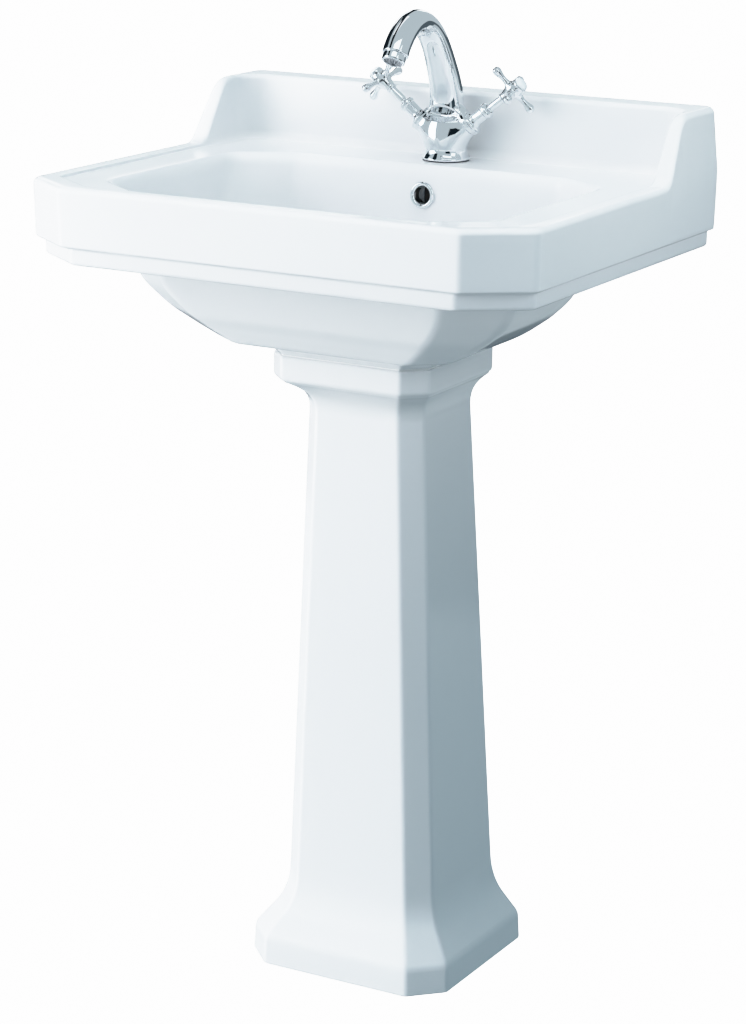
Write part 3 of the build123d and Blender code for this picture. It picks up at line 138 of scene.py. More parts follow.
# The bowl's wall, from the mouth down: share of the depth, then the shares by which the
# section has spread from floor to mouth at the sides, the front and the back, then the
# size of the rear corner cuts, and the rounding of the wall's upright creases.
BOWL_STATIONS = [
    (0.887, 0.998, 0.950, 0.975, 1.05, 24),
    (0.505, 0.975, 0.727, 0.870, 1.8, 26),
    (0.325, 0.914, 0.655, 0.720, 2.4, 28),
    (0.193, 0.778, 0.570, 0.550, 2.5, 28),
    (0.093, 0.617, 0.510, 0.380, 2.3, 26),
    (0.040, 0.463, 0.436, 0.250, 2.0, 24),
    (0.012, 0.300, 0.320, 0.160, 1.5, 20),
    (0.000, 0.060, 0.090, 0.060, 0.8, 12),
]
# The belly from the foot up: height above the foot's flare, half width, front, back, front
# cut along X and Y, rear cut along X and Y, and the rounding of its upright edges.
BELLY_STATIONS = [
    (0.0, 94.5, -62, 108, 22, 22, 5, 5, 9),
    (2.0, 106, -76, 110, 24, 22, 14, 28, 12),
    (5, 126, -98, 112, 30, 24, 26, 55, 16),
    (14, 147, -107, 113, 38, 28, 40, 72, 18),
    (24, 165, -115, 114, 44, 31, 46, 80, 20),
    (34, 180, -124, 115, 49, 34, 50, 84, 20),
    (44, 193, -130, 116, 53, 37, 53, 84, 20),
    (64, 210, -141, 118, 57, 39.5, 56, 78, 20),
    (91, 218, -151, 120, 59, 41, 58, 64, 20),
    (122, 223, -170, 123, 60, 42, 60, 50, 20),
    (146, 225, -186, 125, 60, 42, 60, 40, 20),
]
BELLY_EDGE = (231, -193, 132, 62, 44, 60, 38, 20)  # where the belly meets the deck's underside

# ---- pedestal's sizes
# Sections of the pedestal: half width, front, back and corner cut.
PLINTH = (118, -59, 145, 32)
PLINTH_TOP = (116.8, -57.8, 143.8, 32)
COLUMN_LOW = (88, -26, 135, 22.5)
COLUMN_TOP = (67.5, -22.8, 101, 20)
CAPITAL = (90.5, -58, 104, 22)
PLINTH_H = 31
PLINTH_EDGE = 2.4  # rounding of the plinth's lower edge
SHOULDER_Z = 91
SHOULDER_SLOPE = 38  # the shoulder's slope would meet the column this far up
SHOULDER_REACH = 26
COVE_H = 37
COVE_POWER = 2.6
CAPITAL_H = 26.5
PEDESTAL_WALL = 10
REAR_RETURN = 26
PEDESTAL_EDGE_R = 8
PEDESTAL_REAR_R = 5
SCREW_HOLE = (75, 109, 4)  # place and radius of the holes for the floor screws
PAD_HALF = 16
PAD_H = 10

# ---- tap's sizes
OVERFLOW_HOLE_R = 10.5
OVERFLOW_RING_R = 14
TAP_HOLE_R = 17.5
FLANGE_R = 25.5
WAIST_R = 20.3
ARM_ROOT_Z = TAP_Z + 16.8
ARM_LEAN = math.radians(38)
ARM_END = 38
ARM_R = 13.2
BONNET_R = 7.2
BONNET_END = 63
SPINDLE_R = 4.25
HUB_CENTRE = 97.5
HUB_IN = 15.5  # hub's inner and outer ends from its middle
HUB_OUT = 10
HUB_R = 9
HANDLE_TWIST = math.radians(20)
CAP_R = 7.8
CAP_RISE = 5
# Spout's centre line and section: reach forward, height, half width, half thickness.
SPOUT_STATIONS = [
    (0, 8, 20.3, 20.3),
    (0, 28, 20.2, 20.2),
    (0, 44, 19.1, 19.1),
    (1.0, 64, 17.9, 17.8),
    (6.0, 82, 16.7, 16.5),
    (14.5, 100, 15.6, 15.25),
    (25, 118, 14.8, 14.0),
    (38, 133.5, 14.5, 12.9),
    (52, 143.5, 14.3, 12.1),
    (67, 148, 14.15, 11.8),
    (82, 146, 14.0, 11.9),
    (96, 138, 13.85, 12.3),
    (107, 127, 13.7, 12.9),
    (113, 118, 13.6, 13.3),
]
SPOUT_BLEND = 6  # fillets between foot, spout and arms
ARM_BLEND = 12
SPOKE_BLEND = 2.2
SIDE_NAMES = {-1: "Hot", 1: "Cold"}
# A spoke from the hub outwards: distance from the hub's middle and radius.
SPOKE_LINE = [(3, 4.1), (8.5, 3.8), (11, 3.2), (14, 2.75), (17, 2.8), (20, 3.3), (22.5, 3.95),
              (24.5, 4.45), (26.2, 4.6), (28, 4.15), (29.4, 3.05), (30.2, 1.7), (30.5, 0.0)]


# ---- mesh tools
def new_object(name, data):
    piece = bpy.data.objects.new(name, data)
    bpy.context.scene.collection.objects.link(piece)
    return piece


def shade(mesh, sharp):
    """Outward faces, smooth shading, and sharp edges above an angle in degrees."""
    work = bmesh.new()
    work.from_mesh(mesh)
    bmesh.ops.recalc_face_normals(work, faces=work.faces)
    work.to_mesh(mesh)
    work.free()
    mesh.shade_smooth()
    mesh.set_sharp_from_angle(angle=math.radians(sharp))


def build(name, points, faces, sharp=40):
    """A smooth-shaded piece from points in millimetres."""
    mesh = bpy.data.meshes.new(name)
    mesh.from_pydata((np.array(points, float) * MM).tolist(), [], faces)
    mesh.validate()
    shade(mesh, sharp)
    return new_object(name, mesh)


def stacked(rows, around, closed=False):
    """Quads between rows of points that each close on themselves."""
    faces = []
    for row in range(rows if closed else rows - 1):
        above = (row + 1) % rows
        for i in range(around):
            j = (i + 1) % around
            faces.append((row * around + i, row * around + j,
                          above * around + j, above * around + i))
    return faces


def lofted(name, rows, closed=False, sharp=40):
    """A skin over rows of points, with flat ends unless its last row closes on its first."""
    around = len(rows[0])
    last = (len(rows) - 1) * around
    faces = stacked(len(rows), around, closed)
    if not closed:
        faces += [tuple(reversed(range(around))), tuple(range(last, last + around))]
    return build(name, np.concatenate(rows), faces, sharp)


def baked(piece):
    """Bake a piece's modifiers into its mesh."""
    graph = bpy.context.evaluated_depsgraph_get()
    mesh = bpy.data.meshes.new_from_object(piece.evaluated_get(graph))
    piece.modifiers.clear()
    piece.data = mesh
    return piece


def carve(piece, tool, operation="DIFFERENCE"):
    """Cut a tool out of a piece, or add it; the tool is used up."""
    change = piece.modifiers.new("carve", "BOOLEAN")
    change.operation = operation
    change.solver = "EXACT"
    change.object = tool
    baked(piece)
    bpy.data.objects.remove(tool)


def joined(name, parts):
    """One object from several, which are used up."""
    work = bmesh.new()
    for part in parts:
        work.from_mesh(part.data)
        bpy.data.objects.remove(part)
    mesh = bpy.data.meshes.new(name)
    work.to_mesh(mesh)
    work.free()
    return new_object(name, mesh)


def even_shading(piece):
    """Give flat faces flat normals beside rounded edges."""
    weigh = piece.modifiers.new("weigh", "WEIGHTED_NORMAL")
    weigh.keep_sharp = True
    weigh.weight = 80
    return baked(piece)


ROUND_ROOM = 0.49  # most of a side that a rounding may take at either end
ARC_ROOM = 0.47


def bezier(start, bend, end, t):
    return (1 - t) ** 2 * start + 2 * t * (1 - t) * bend + t * t * end


def rounded(line, reach, steps=6):
    """A line in any number of dimensions, its inner corners rounded over the given reach."""
    line = [np.array(point, float) for point in line]
    out = [line[0]]
    for i in range(1, len(line) - 1):
        before = line[i - 1] - line[i]
        after = line[i + 1] - line[i]
        size = min(reach[i], ROUND_ROOM * np.linalg.norm(before), ROUND_ROOM * np.linalg.norm(after))
        if size <= 0:
            out.append(line[i])
            continue
        start = line[i] + before / np.linalg.norm(before) * size
        end = line[i] + after / np.linalg.norm(after) * size
        out += [bezier(start, line[i], end, step / steps) for step in range(steps + 1)]
    out.append(line[-1])
    return out


def corner_arc(before, corner, after, radius, steps):
    """Points of the circular arc that rounds a corner of a flat line."""
    before, corner, after = (np.array(p, float) for p in (before, corner, after))
    a = before - corner
    b = after - corner
    room = ARC_ROOM * min(np.linalg.norm(a), np.linalg.norm(b))
    a /= np.linalg.norm(a)
    b /= np.linalg.norm(b)
    half = math.acos(max(-1, min(1, float(a @ b)))) / 2
    reach = min(radius / math.tan(half), room)
    radius = reach * math.tan(half)
    middle = (a + b) / np.linalg.norm(a + b)
    centre = corner + middle * radius / math.sin(half)
    start = corner + a * reach - centre
    end = corner + b * reach - centre
    sweep = math.pi - 2 * half
    turns = [sweep * step / steps for step in range(steps + 1)]
    return [centre + (math.sin(sweep - turn) * start + math.sin(turn) * end) / math.sin(sweep)
            for turn in turns]


def between(a, b, steps):
    """Points from a towards b, without either end."""
    return [a + (b - a) * step / steps for step in range(1, steps)]


def smooth_rows(stations):
    """Monotone curves through the stations' values, read at even places along their length."""
    stations = np.array(stations, float)
    gaps = np.maximum(np.linalg.norm(np.diff(stations[:, :3], axis=0), axis=1), 1e-6)
    along = np.concatenate([[0], np.cumsum(gaps)])
    slope = np.diff(stations, axis=0) / gaps[:, None]
    tangent = np.zeros_like(stations)
    tangent[0], tangent[-1] = slope[0], slope[-1]
    for i in range(1, len(stations) - 1):
        w1 = 2 * gaps[i] + gaps[i - 1]
        w2 = gaps[i] + 2 * gaps[i - 1]
        same = slope[i - 1] * slope[i] > 0
        safe = np.where(same, w1 / np.where(same, slope[i - 1], 1)
                        + w2 / np.where(same, slope[i], 1), 1)
        tangent[i] = np.where(same, (w1 + w2) / safe, 0)
    rows = []
    for place in np.linspace(0, along[-1], WALL_ROWS):
        i = int(min(max(np.searchsorted(along, place) - 1, 0), len(gaps) - 1))
        t = (place - along[i]) / gaps[i]
        rows.append((2 * t ** 3 - 3 * t ** 2 + 1) * stations[i]
                    + (t ** 3 - 2 * t ** 2 + t) * gaps[i] * tangent[i]
                    + (3 * t ** 2 - 2 * t ** 3) * stations[i + 1]
                    + (t ** 3 - t ** 2) * gaps[i] * tangent[i + 1])
    return rows


# ---- basin's outlines
ARC = 8  # steps round each corner of an outline
FLIP = np.array([-1, 1])  # to the other side of the sink
SQUARE_CUT = 0.5858  # cut, as a share of its rounding, that leaves a plain round corner
WALL_ROWS = 44  # rows down the bowl's wall, and up the belly
wing_line = rounded([(FRONT_Y, RIM_Z), (WING_FOOT_Y, RIM_Z), (WING_TOP_Y, TOP_Z), (BACK_Y, TOP_Z)],
                    [0, WING_FOOT_REACH, WING_TOP_REACH, 0])
wing_y, wing_z = zip(*wing_line)
WING_MARKS = [(y - FRONT_Y) / (BACK_Y - FRONT_Y) for y in wing_y[1:-1]]


def outline(half, front, back, cut, rear, front_r, rear_r, wings=False):
    """Level outline with cut and rounded corners, always of the same number of points."""
    line = [np.array(p) for p in [(0, front), (half - cut[0], front), (half, front + cut[1]),
                                  (half, back - rear[1]), (half - rear[0], back), (0, back)]]
    radii = (front_r, front_r, rear_r, rear_r)
    arcs = [corner_arc(*line[i:i + 3], radius, ARC) for i, radius in enumerate(radii)]
    start, end = arcs[1][-1], arcs[2][0]
    if wings:
        marks = [np.array([half, FRONT_Y + mark * (BACK_Y - FRONT_Y)]) for mark in WING_MARKS]
    else:
        marks = [start + (end - start) * mark for mark in WING_MARKS]
    right = [line[0]] + between(line[0], arcs[0][0], 14) + arcs[0] + between(arcs[0][-1], arcs[1][0], 5)
    right += arcs[1] + between(start, marks[0], 10) + marks + between(marks[-1], end, 4) + arcs[2]
    right += between(arcs[2][-1], arcs[3][0], 3) + arcs[3] + between(arcs[3][-1], line[5], 12) + [line[5]]
    return np.array(right + [point * FLIP for point in reversed(right[1:-1])])


def deck_outline(inset, back, rear_r, front_r=CORNER_R, wings=True):
    """An outline like the deck's, cut at the front and with plain round corners at the back."""
    rear = rear_r * SQUARE_CUT
    return outline(BASIN_HALF - inset, FRONT_Y + inset, back, CORNER_CUT, (rear, rear), front_r, rear_r,
                   wings)


def at_height(flat, z):
    """A flat outline at a height, or at a height for each of its points."""
    return np.column_stack([flat, np.broadcast_to(z, len(flat))])


def mixed(a, b, share):
    """Between two outlines, by one share or by a share for each point."""
    share = np.broadcast_to(share, len(a))[:, None]
    return a + (b - a) * share


def rows_of(shape, levels):
    """Rows of a shape that takes one size, from pairs of that size and a height."""
    return [at_height(shape(size), z) for size, z in levels]


def rim_outline(inset):
    """The fascia's outline, drawn in; the back stays on the wall."""
    return deck_outline(inset, BACK_Y, REAR_CORNER_R)


def inner_outline(shrink):
    """The line inside the lip, the wings and the splashback."""
    return deck_outline(LIP + shrink, BACK_Y - UPSTAND - shrink, WING_CORNER_R - shrink,
                        CORNER_R - shrink / 2)


def skirt_outline(drawn):
    """The skirt under the deck, drawn in all round."""
    return deck_outline(BAND_INSET + CHINA + drawn, BACK_Y - CHINA - drawn, SKIRT_CORNER_R, wings=False)


def band_outline(drawn):
    """The small band below the fascia, drawn in at the front and the sides."""
    return deck_outline(BAND_INSET + drawn, BACK_Y - BAND_BACK - min(max(drawn, 0), 1), REAR_CORNER_R)


def foot_outline(grow):
    """The foot's outline, the same as the pedestal's capital, grown all round."""
    half, front, back, cut = CAPITAL
    rear = PEDESTAL_REAR_R * SQUARE_CUT
    return outline(half + grow, front - grow, back + grow, (cut, cut), (rear, rear),
                   PEDESTAL_EDGE_R, PEDESTAL_REAR_R)


def belly_outline(half, front, back, cut_x, cut_y, rear_x, rear_y, radius):
    return outline(half, front, back, (cut_x, cut_y), (rear_x, rear_y), radius, radius)


def mouth_outline(grow):
    """The mouth's outline on the deck, grown all round."""
    half, front, back = WALL_TOP
    cut = (MOUTH_CUT[0] + grow * 0.4, MOUTH_CUT[1] + grow * 0.4)
    rear = (MOUTH_CUT[0] + grow * 0.3, MOUTH_REAR_CUT + grow * 0.3)
    return outline(half + grow, front - grow, back + grow, cut, rear, MOUTH_R + grow, MOUTH_R + grow)


def bowl_outline(side, fore, aft, rear_cut, radius):
    """One level section of the bowl, from its shares of the spread."""
    half, front, back = (low + share * (top - low)
                         for low, top, share in zip(WALL_LOW, WALL_TOP, (side, fore, aft)))
    share = half / WALL_TOP[0]
    cut = (MOUTH_CUT[0] * share, min(MOUTH_CUT[1] * share, (back - front) / 3))
    rear = (MOUTH_CUT[0] * share, min(rear_cut * MOUTH_REAR_CUT, (back - front) / 2))
    return outline(half, front, back, cut, rear, radius, radius)


def circle_towards(flat, radius):
    """A circle round the waste whose points lie in line with an outline's."""
    centre = np.array([0, WASTE_Y])
    away = flat - centre
    return centre + away / np.linalg.norm(away, axis=1)[:, None] * radius


def top_height(flat):
    """Height of the lip, the wing or the splashback at each point."""
    return np.interp(flat[:, 1], wing_y, wing_z)


# Sine and cosine in even steps over a quarter turn.
QUARTER = [(math.sin(t), math.cos(t)) for t in np.linspace(0, math.pi / 2, 7)]


# ---- basin's skin
def rim_rows():
    """From the fascia's lower edge up, over the lip and down to the deck."""
    low = rim_outline(FASCIA_DRAFT)
    plain = rim_outline(0)
    leaned = rim_outline(WING_LEAN)
    top = top_height(plain)

    def climbed(z):
        return np.clip((z - RIM_Z) / (TOP_Z - RIM_Z), 0, 1)

    def side(z):
        down = np.clip((RIM_Z - z) / (RIM_Z - FASCIA_Z), 0, 1)
        return mixed(mixed(plain, low, down), leaned, climbed(z))

    rows = []
    for share in np.linspace(0.05, 1, 7):
        z = FASCIA_Z + (top - LIP_EDGE_R - FASCIA_Z) * share
        rows.append(at_height(side(z), z))
    for sine, cosine in QUARTER[1:]:
        z = top - LIP_EDGE_R * (1 - sine)
        inward = mixed(rim_outline(LIP_EDGE_R), rim_outline(LIP_EDGE_R + WING_LEAN), climbed(z))
        rows.append(at_height(mixed(side(z), inward, 1 - cosine), z))
    inner = inner_outline(0)
    wide = inner_outline(-INNER_EDGE_R)
    narrow = inner_outline(COVE_R)
    inner_top = top_height(inner)
    edge = np.minimum(INNER_EDGE_R, 0.6 * (inner_top - DECK_Z))
    cove = np.minimum(COVE_R, 0.4 * (inner_top - DECK_Z))
    last = rows[-1]
    first = at_height(mixed(inner, wide, edge / INNER_EDGE_R), inner_top)
    rows += between(last, first, 4)
    for sine, cosine in QUARTER:
        flat = mixed(inner, wide, edge * (1 - sine) / INNER_EDGE_R)
        rows.append(at_height(flat, inner_top - edge * (1 - cosine)))
    rows += between(at_height(inner, inner_top - edge), at_height(inner, DECK_Z + cove), 4)
    for sine, cosine in QUARTER:
        flat = mixed(inner, narrow, cove * (1 - cosine) / COVE_R)
        rows.append(at_height(flat, DECK_Z + cove * (1 - sine)))
    return rows


def level_rows(a, b, z):
    """Rows at one height from one outline to another, closer together at the second."""
    return rows_of(lambda share: mixed(a, b, share), [(share, z) for share in (0.3, 0.6, 0.85, 1.0)])


def bowl_wall():
    """The bowl's wall, from below the mouth's rounded edge down to the floor."""
    depth = DECK_Z - FLOOR_Z
    width, reach = 162, 165  # the wall's rough runs, which only space its rows
    stations = [(s[0] * depth, s[1] * width, s[2] * reach, *s[1:]) for s in BOWL_STATIONS]
    return [at_height(bowl_outline(*row[3:]), FLOOR_Z + row[0])
            for row in smooth_rows(stations)]


def bowl_rows(deck_edge):
    """Across the deck, over the mouth's edge and down the bowl to the waste hole."""
    outer = mouth_outline(MOUTH_SPREAD)
    start = at_height(outer, DECK_Z)
    bend = at_height(mouth_outline(0), DECK_Z)
    wall = bowl_wall()
    rows = level_rows(deck_edge, outer, DECK_Z)
    rows += [bezier(start, bend, wall[0], t) for t in np.linspace(0, 1, 9)[1:-1]]
    rows += wall
    floor = wall[-1][:, :2]
    rows += level_rows(floor, circle_towards(floor, RECESS_R + 1), FLOOR_Z)
    recess = FLOOR_Z - RECESS
    boss = FOOT_Z + BOSS_DROP
    under = FLOOR_Z - CHINA
    return rows + rows_of(lambda radius: circle_towards(floor, radius), [
        (RECESS_R + 0.3, FLOOR_Z - 0.3), (RECESS_R, FLOOR_Z - 1), (RECESS_R, recess + 0.6),
        (RECESS_R - 0.6, recess), (WASTE_HOLE_R + 0.6, recess), (WASTE_HOLE_R, recess - 0.6),
        (WASTE_HOLE_R, boss + 0.6), (WASTE_HOLE_R + 0.6, boss), (BOSS_R - 2, boss),
        (BOSS_R, boss + 2), (BOSS_R, under - 2), (BOSS_R + 2, under)])


def foot_rows():
    """The underside inside the foot, the foot's ring and its flare."""
    under = FLOOR_Z - CHINA
    return rows_of(foot_outline, [
        (-FOOT_WALL - 3, under), (-FOOT_WALL, under - 3), (-FOOT_WALL, FOOT_Z + 1.5),
        (-FOOT_WALL + 1.5, FOOT_Z), (-1.5, FOOT_Z), (-0.4, FOOT_Z + 0.5), (0, FOOT_Z + 1.6),
        (FOOT_FLARE * 0.5, FOOT_Z + 5.2), (FOOT_FLARE * 0.9, FOOT_Z + 8.6)])


def belly_rows():
    """The bowl's outside, the deck's underside, the skirt and the small band."""
    rows = [at_height(belly_outline(*row[1:]), BELLY_Z + row[0])
            for row in smooth_rows(BELLY_STATIONS)]
    under = DECK_Z - CHINA
    edge = belly_outline(*BELLY_EDGE)
    low = rim_outline(FASCIA_DRAFT)
    drawn_low = rim_outline(FASCIA_DRAFT + FASCIA_EDGE)
    rows.append(at_height(mixed(rows[-1][:, :2], edge, 0.35), under - 2.2))
    rows.append(at_height(edge, under))
    rows.append(at_height(mixed(edge, skirt_outline(SKIRT_R), 0.5), under))
    rows += rows_of(skirt_outline, [
        (SKIRT_R, under), (0.3 * SKIRT_R, under - 0.3 * SKIRT_R), (0, under - SKIRT_R),
        (0, (under + BAND_Z) / 2), (0, BAND_Z + SKIRT_EDGE), (-0.7, BAND_Z + 0.7), (-SKIRT_EDGE, BAND_Z)])
    rows += rows_of(band_outline, [
        (BAND_EDGE, BAND_Z), (2.6, BAND_Z + 0.35), (1.2, BAND_Z + 1.2), (0.35, BAND_Z + 2.6),
        (0, BAND_Z + BAND_EDGE), (0, FASCIA_Z - 3), (-0.4, FASCIA_Z - 1.2), (-1.8, FASCIA_Z - 0.2),
        (-3.2, FASCIA_Z)])
    return rows + rows_of(lambda drawn: mixed(low, drawn_low, drawn / FASCIA_EDGE), [
        (FASCIA_EDGE, FASCIA_Z), (1.8, FASCIA_Z + 0.3), (0.8, FASCIA_Z + 0.9), (0.2, FASCIA_Z + 1.9)])


def make_basin():
    rows = rim_rows()
    rows += bowl_rows(rows[-1][:, :2])
    rows += foot_rows() + belly_rows()
    return lofted("Basin", rows, closed=True, sharp=CHINA_SHARP)


def prism(name, half, line):
    """A block of an even width across the sink, from its outline in Y and Z."""
    points = [(side * half, y, z) for side in (-1, 1) for y, z in line]
    count = len(line)
    faces = [tuple(range(count)), tuple(reversed(range(count, 2 * count)))]
    faces += [(i, (i + 1) % count, count + (i + 1) % count, count + i) for i in range(count)]
    return build(name, points, faces, sharp=20)


def make_duct():
    """The overflow's block on the back of the bowl and the channel in it."""
    back = DUCT_BACK
    foot_y = WASTE_Y + BOSS_R - 2
    block = [(foot_y, DUCT_LOW), *DUCT_REAR, (back - 20, DUCT_TOP), (back - 25, FLOOR_Z + 76),
             (back - 30, FLOOR_Z + 49), (back - 35, FLOOR_Z + 29), (back - 39, FLOOR_Z + 9),
             (back - 43, FLOOR_Z - 4), (foot_y, FLOOR_Z - 6)]
    skin = DUCT_SKIN
    end_y = WASTE_Y + WASTE_HOLE_R - 4
    channel = [(end_y, FLOOR_Z - CHINA - 1), (back - 34, FLOOR_Z - CHINA + 1),
               (back - 12 - skin, FLOOR_Z - 2), *[(y - skin, z) for y, z in DUCT_REAR[2:4]],
               (back - skin, DUCT_TOP - skin), (back - DUCT_DEPTH, DUCT_TOP - skin),
               (back - DUCT_DEPTH - 3, FLOOR_Z + 60), (back - 24, FLOOR_Z + 8),
               (back - 44, FLOOR_Z - 7), (end_y, FLOOR_Z - 7)]
    return prism("DuctBlock", DUCT_HALF, block), prism("DuctChannel", DUCT_HALF - skin, channel)


# ---- turned pieces
def upright(x=0.0, y=0.0, z=0.0):
    """The place of a piece that stands on its own axis."""
    return Matrix.Translation((x, y, z))


def lean_to(origin, axis):
    """The place of a piece whose +Z runs along an axis."""
    turn = Vector((0, 0, 1)).rotation_difference(Vector(axis)).to_matrix().to_4x4()
    return Matrix.Translation(origin) @ turn


def turned(name, profile, place, around=72, sharp=40, closed=False):
    """A turned piece from its (radius, height) profile, a ring if the profile closes."""
    turns = np.linspace(0, 2 * math.pi, around, endpoint=False)
    rows = []
    for radius, height in profile:
        ring = np.column_stack([radius * np.cos(turns), radius * np.sin(turns),
                                np.full(around, height), np.ones(around)])
        rows.append((ring @ np.array(place).T)[:, :3])
    return lofted(name, rows, closed, sharp)


def soft_profile(line, reach):
    """A profile whose corners are all rounded over the same reach."""
    return [tuple(p) for p in rounded(line, [reach] * len(line), 4)]


def soft_ring(line, reach):
    """A closed profile whose corners are all rounded."""
    return soft_profile([line[-1], *line, line[0]], reach)[1:-1]


# ---- polished castings
def flat_distance(across, along, line):
    """Signed distance to a closed flat outline, negative inside."""
    nearest = np.full(across.shape, np.inf)
    inside = np.zeros(across.shape, bool)
    for (x0, y0), (x1, y1) in zip(line, line[1:] + line[:1]):
        ex, ey = x1 - x0, y1 - y0
        if ex == ey == 0:
            continue
        t = np.clip(((across - x0) * ex + (along - y0) * ey) / (ex * ex + ey * ey), 0, 1)
        nearest = np.minimum(nearest, (across - x0 - t * ex) ** 2 + (along - y0 - t * ey) ** 2)
        if ey:
            inside ^= ((y0 > along) != (y1 > along)) & (across < x0 + (along - y0) * ex / ey)
    return np.where(inside, -1, 1) * np.sqrt(nearest)


def turned_field(origin, axis, profile, soft):
    """Distance to a turned shape; soft rounds its outer edges."""
    origin, axis = np.array(origin, float), np.array(axis, float)
    line = [(r, h) for r, h in profile] + [(-r, h) for r, h in reversed(profile)]

    def field(points):
        away = points - origin
        along = away @ axis
        across = np.sqrt(np.maximum((away * away).sum(1) - along * along, 0))
        return flat_distance(across, along, line) - soft

    return field


def blended(a, b, reach):
    """Union of two distances with a fillet between them."""
    share = np.clip(0.5 + 0.5 * (b - a) / reach, 0, 1)
    return b + (a - b) * share - reach * share * (1 - share)


def slope_of(field, points, step):
    """Slope of a field at points, from central differences."""
    slope = np.empty_like(points)
    for axis in range(3):
        shift = np.zeros(3)
        shift[axis] = step
        slope[:, axis] = (field(points + shift) - field(points - shift)) / (2 * step)
    return slope


DRAWS = 8  # how often a casting's points are drawn onto its field
EVENINGS = 5  # how many of those times they are spread evenly as well
LONGEST_MOVE = 1.5


def polished(name, parts, field, voxel):
    """Fuse rough parts and draw their surface onto a field, with exact normals."""
    piece = joined(name, parts)
    fuse = piece.modifiers.new("fuse", "REMESH")
    fuse.mode = "VOXEL"
    fuse.voxel_size = voxel * MM
    baked(piece)
    mesh = piece.data
    count = len(mesh.vertices)
    points = np.empty(count * 3)
    mesh.vertices.foreach_get("co", points)
    points = points.reshape(-1, 3) / MM
    edges = np.empty(len(mesh.edges) * 2, int)
    mesh.edges.foreach_get("vertices", edges)
    start, end = edges.reshape(-1, 2).T
    degree = np.bincount(start, minlength=count) + np.bincount(end, minlength=count)
    for turn in range(DRAWS):
        slope = slope_of(field, points, 0.05)
        size = np.maximum((slope * slope).sum(1), 0.05)
        move = (field(points) / size)[:, None] * slope
        length = np.linalg.norm(move, axis=1)[:, None]
        points -= move * np.minimum(1, LONGEST_MOVE / np.maximum(length, 1e-9))
        if turn < EVENINGS:
            total = np.column_stack([
                np.bincount(start, points[end, k], count) + np.bincount(end, points[start, k], count)
                for k in range(3)])
            points += 0.5 * (total / degree[:, None] - points)
    normals = slope_of(field, points, 0.02)
    normals /= np.linalg.norm(normals, axis=1)[:, None]
    mesh.vertices.foreach_set("co", (points * MM).ravel())
    mesh.update()
    mesh.shade_smooth()
    mesh.normals_split_custom_set_from_vertices(normals.tolist())
    return piece


# ---- pedestal
def mix(low, high, share):
    return tuple(a + (b - a) * share for a, b in zip(low, high))


def drawn_in(sizes, inset):
    half, front, back, cut = sizes
    return (half - inset, front + inset, back - inset, cut)


def pedestal_levels():
    """Levels of the pedestal: height, section and how far both skins are drawn in."""
    levels = [(z, *drawn_in(PLINTH, inset), inset)
              for inset, z in [(PLINTH_EDGE, 0), (1.2, 0.2), (0.5, 0.7), (0.15, 1.4), (0, PLINTH_EDGE)]]
    capital_z = PEDESTAL_TOP - CAPITAL_H
    cove_z = capital_z - COVE_H
    line = [(PLINTH_EDGE, *PLINTH), (PLINTH_H, *PLINTH_TOP), (PLINTH_H + SHOULDER_SLOPE, *COLUMN_LOW),
            (cove_z, *COLUMN_TOP)]
    levels += [(*point, 0) for point in rounded(line, [0, 6, SHOULDER_REACH, 0], 8)[1:]]
    levels += [(cove_z + COVE_H * share, *mix(COLUMN_TOP, CAPITAL, share ** COVE_POWER), 0)
               for share in (0.08, 0.2, 0.35, 0.5, 0.62, 0.73, 0.82, 0.89, 0.935)]
    levels += [(capital_z + z, *drawn_in(CAPITAL, inset), 0)
               for inset, z in [(2.3, 0), (1.2, 0.9), (0.5, 2.1), (0.1, 3.6), (0, 5)]]
    return levels + [(PEDESTAL_TOP - z, *drawn_in(CAPITAL, inset), inset)
                     for inset, z in [(0, 3), (0.25, 1.4), (0.9, 0.4), (2.4, 0)]]


def c_line(sizes, slot, skin, edge_r, rear_r, front_r):
    """One skin of a level, -1 for the outer and 1 for the inner one, from the open back's right
    edge round the front to its left edge."""
    half, front, back, cut = sizes
    points = [np.array(p, float) for p in [(slot, back + skin * PEDESTAL_WALL), (slot, back), (half, back),
                                           (half, front + cut), (half - cut, front), (0, front)]]
    right = []
    for i, radius in [(1, edge_r), (2, rear_r), (3, front_r), (4, front_r)]:
        arc = corner_arc(points[i - 1], points[i], points[i + 1], radius, 6)
        if right:
            right += between(right[-1], arc[0], 4)
        right += arc
    right += between(right[-1], points[5], 4) + [points[5]]
    return right + [point * FLIP for point in reversed(right[:-1])]


def pedestal_skins():
    """Rows of the pedestal, each round the outer skin and back along the inner one."""
    cove_z = PEDESTAL_TOP - CAPITAL_H - COVE_H
    slot_low, slot_top = (sizes[0] - PEDESTAL_WALL - REAR_RETURN for sizes in (COLUMN_LOW, COLUMN_TOP))
    rows = []
    for z, half, front, back, cut, edge in pedestal_levels():
        slot = slot_low + (slot_top - slot_low) * min(z / cove_z, 1) + 0.6 * edge
        inner_up = min(max((z - SHOULDER_Z) / (cove_z - SHOULDER_Z), 0), 1)
        inner = drawn_in(mix(COLUMN_LOW, COLUMN_TOP, inner_up), PEDESTAL_WALL - 0.6 * edge)
        outer_line = c_line((half, front, back, cut), slot, -1, edge_r=2.5,
                            rear_r=PEDESTAL_REAR_R, front_r=PEDESTAL_EDGE_R)
        inner_line = c_line(inner, slot, 1, edge_r=2, rear_r=6, front_r=8)
        rows.append(at_height(np.array(outer_line + inner_line[::-1]), z))
    return rows


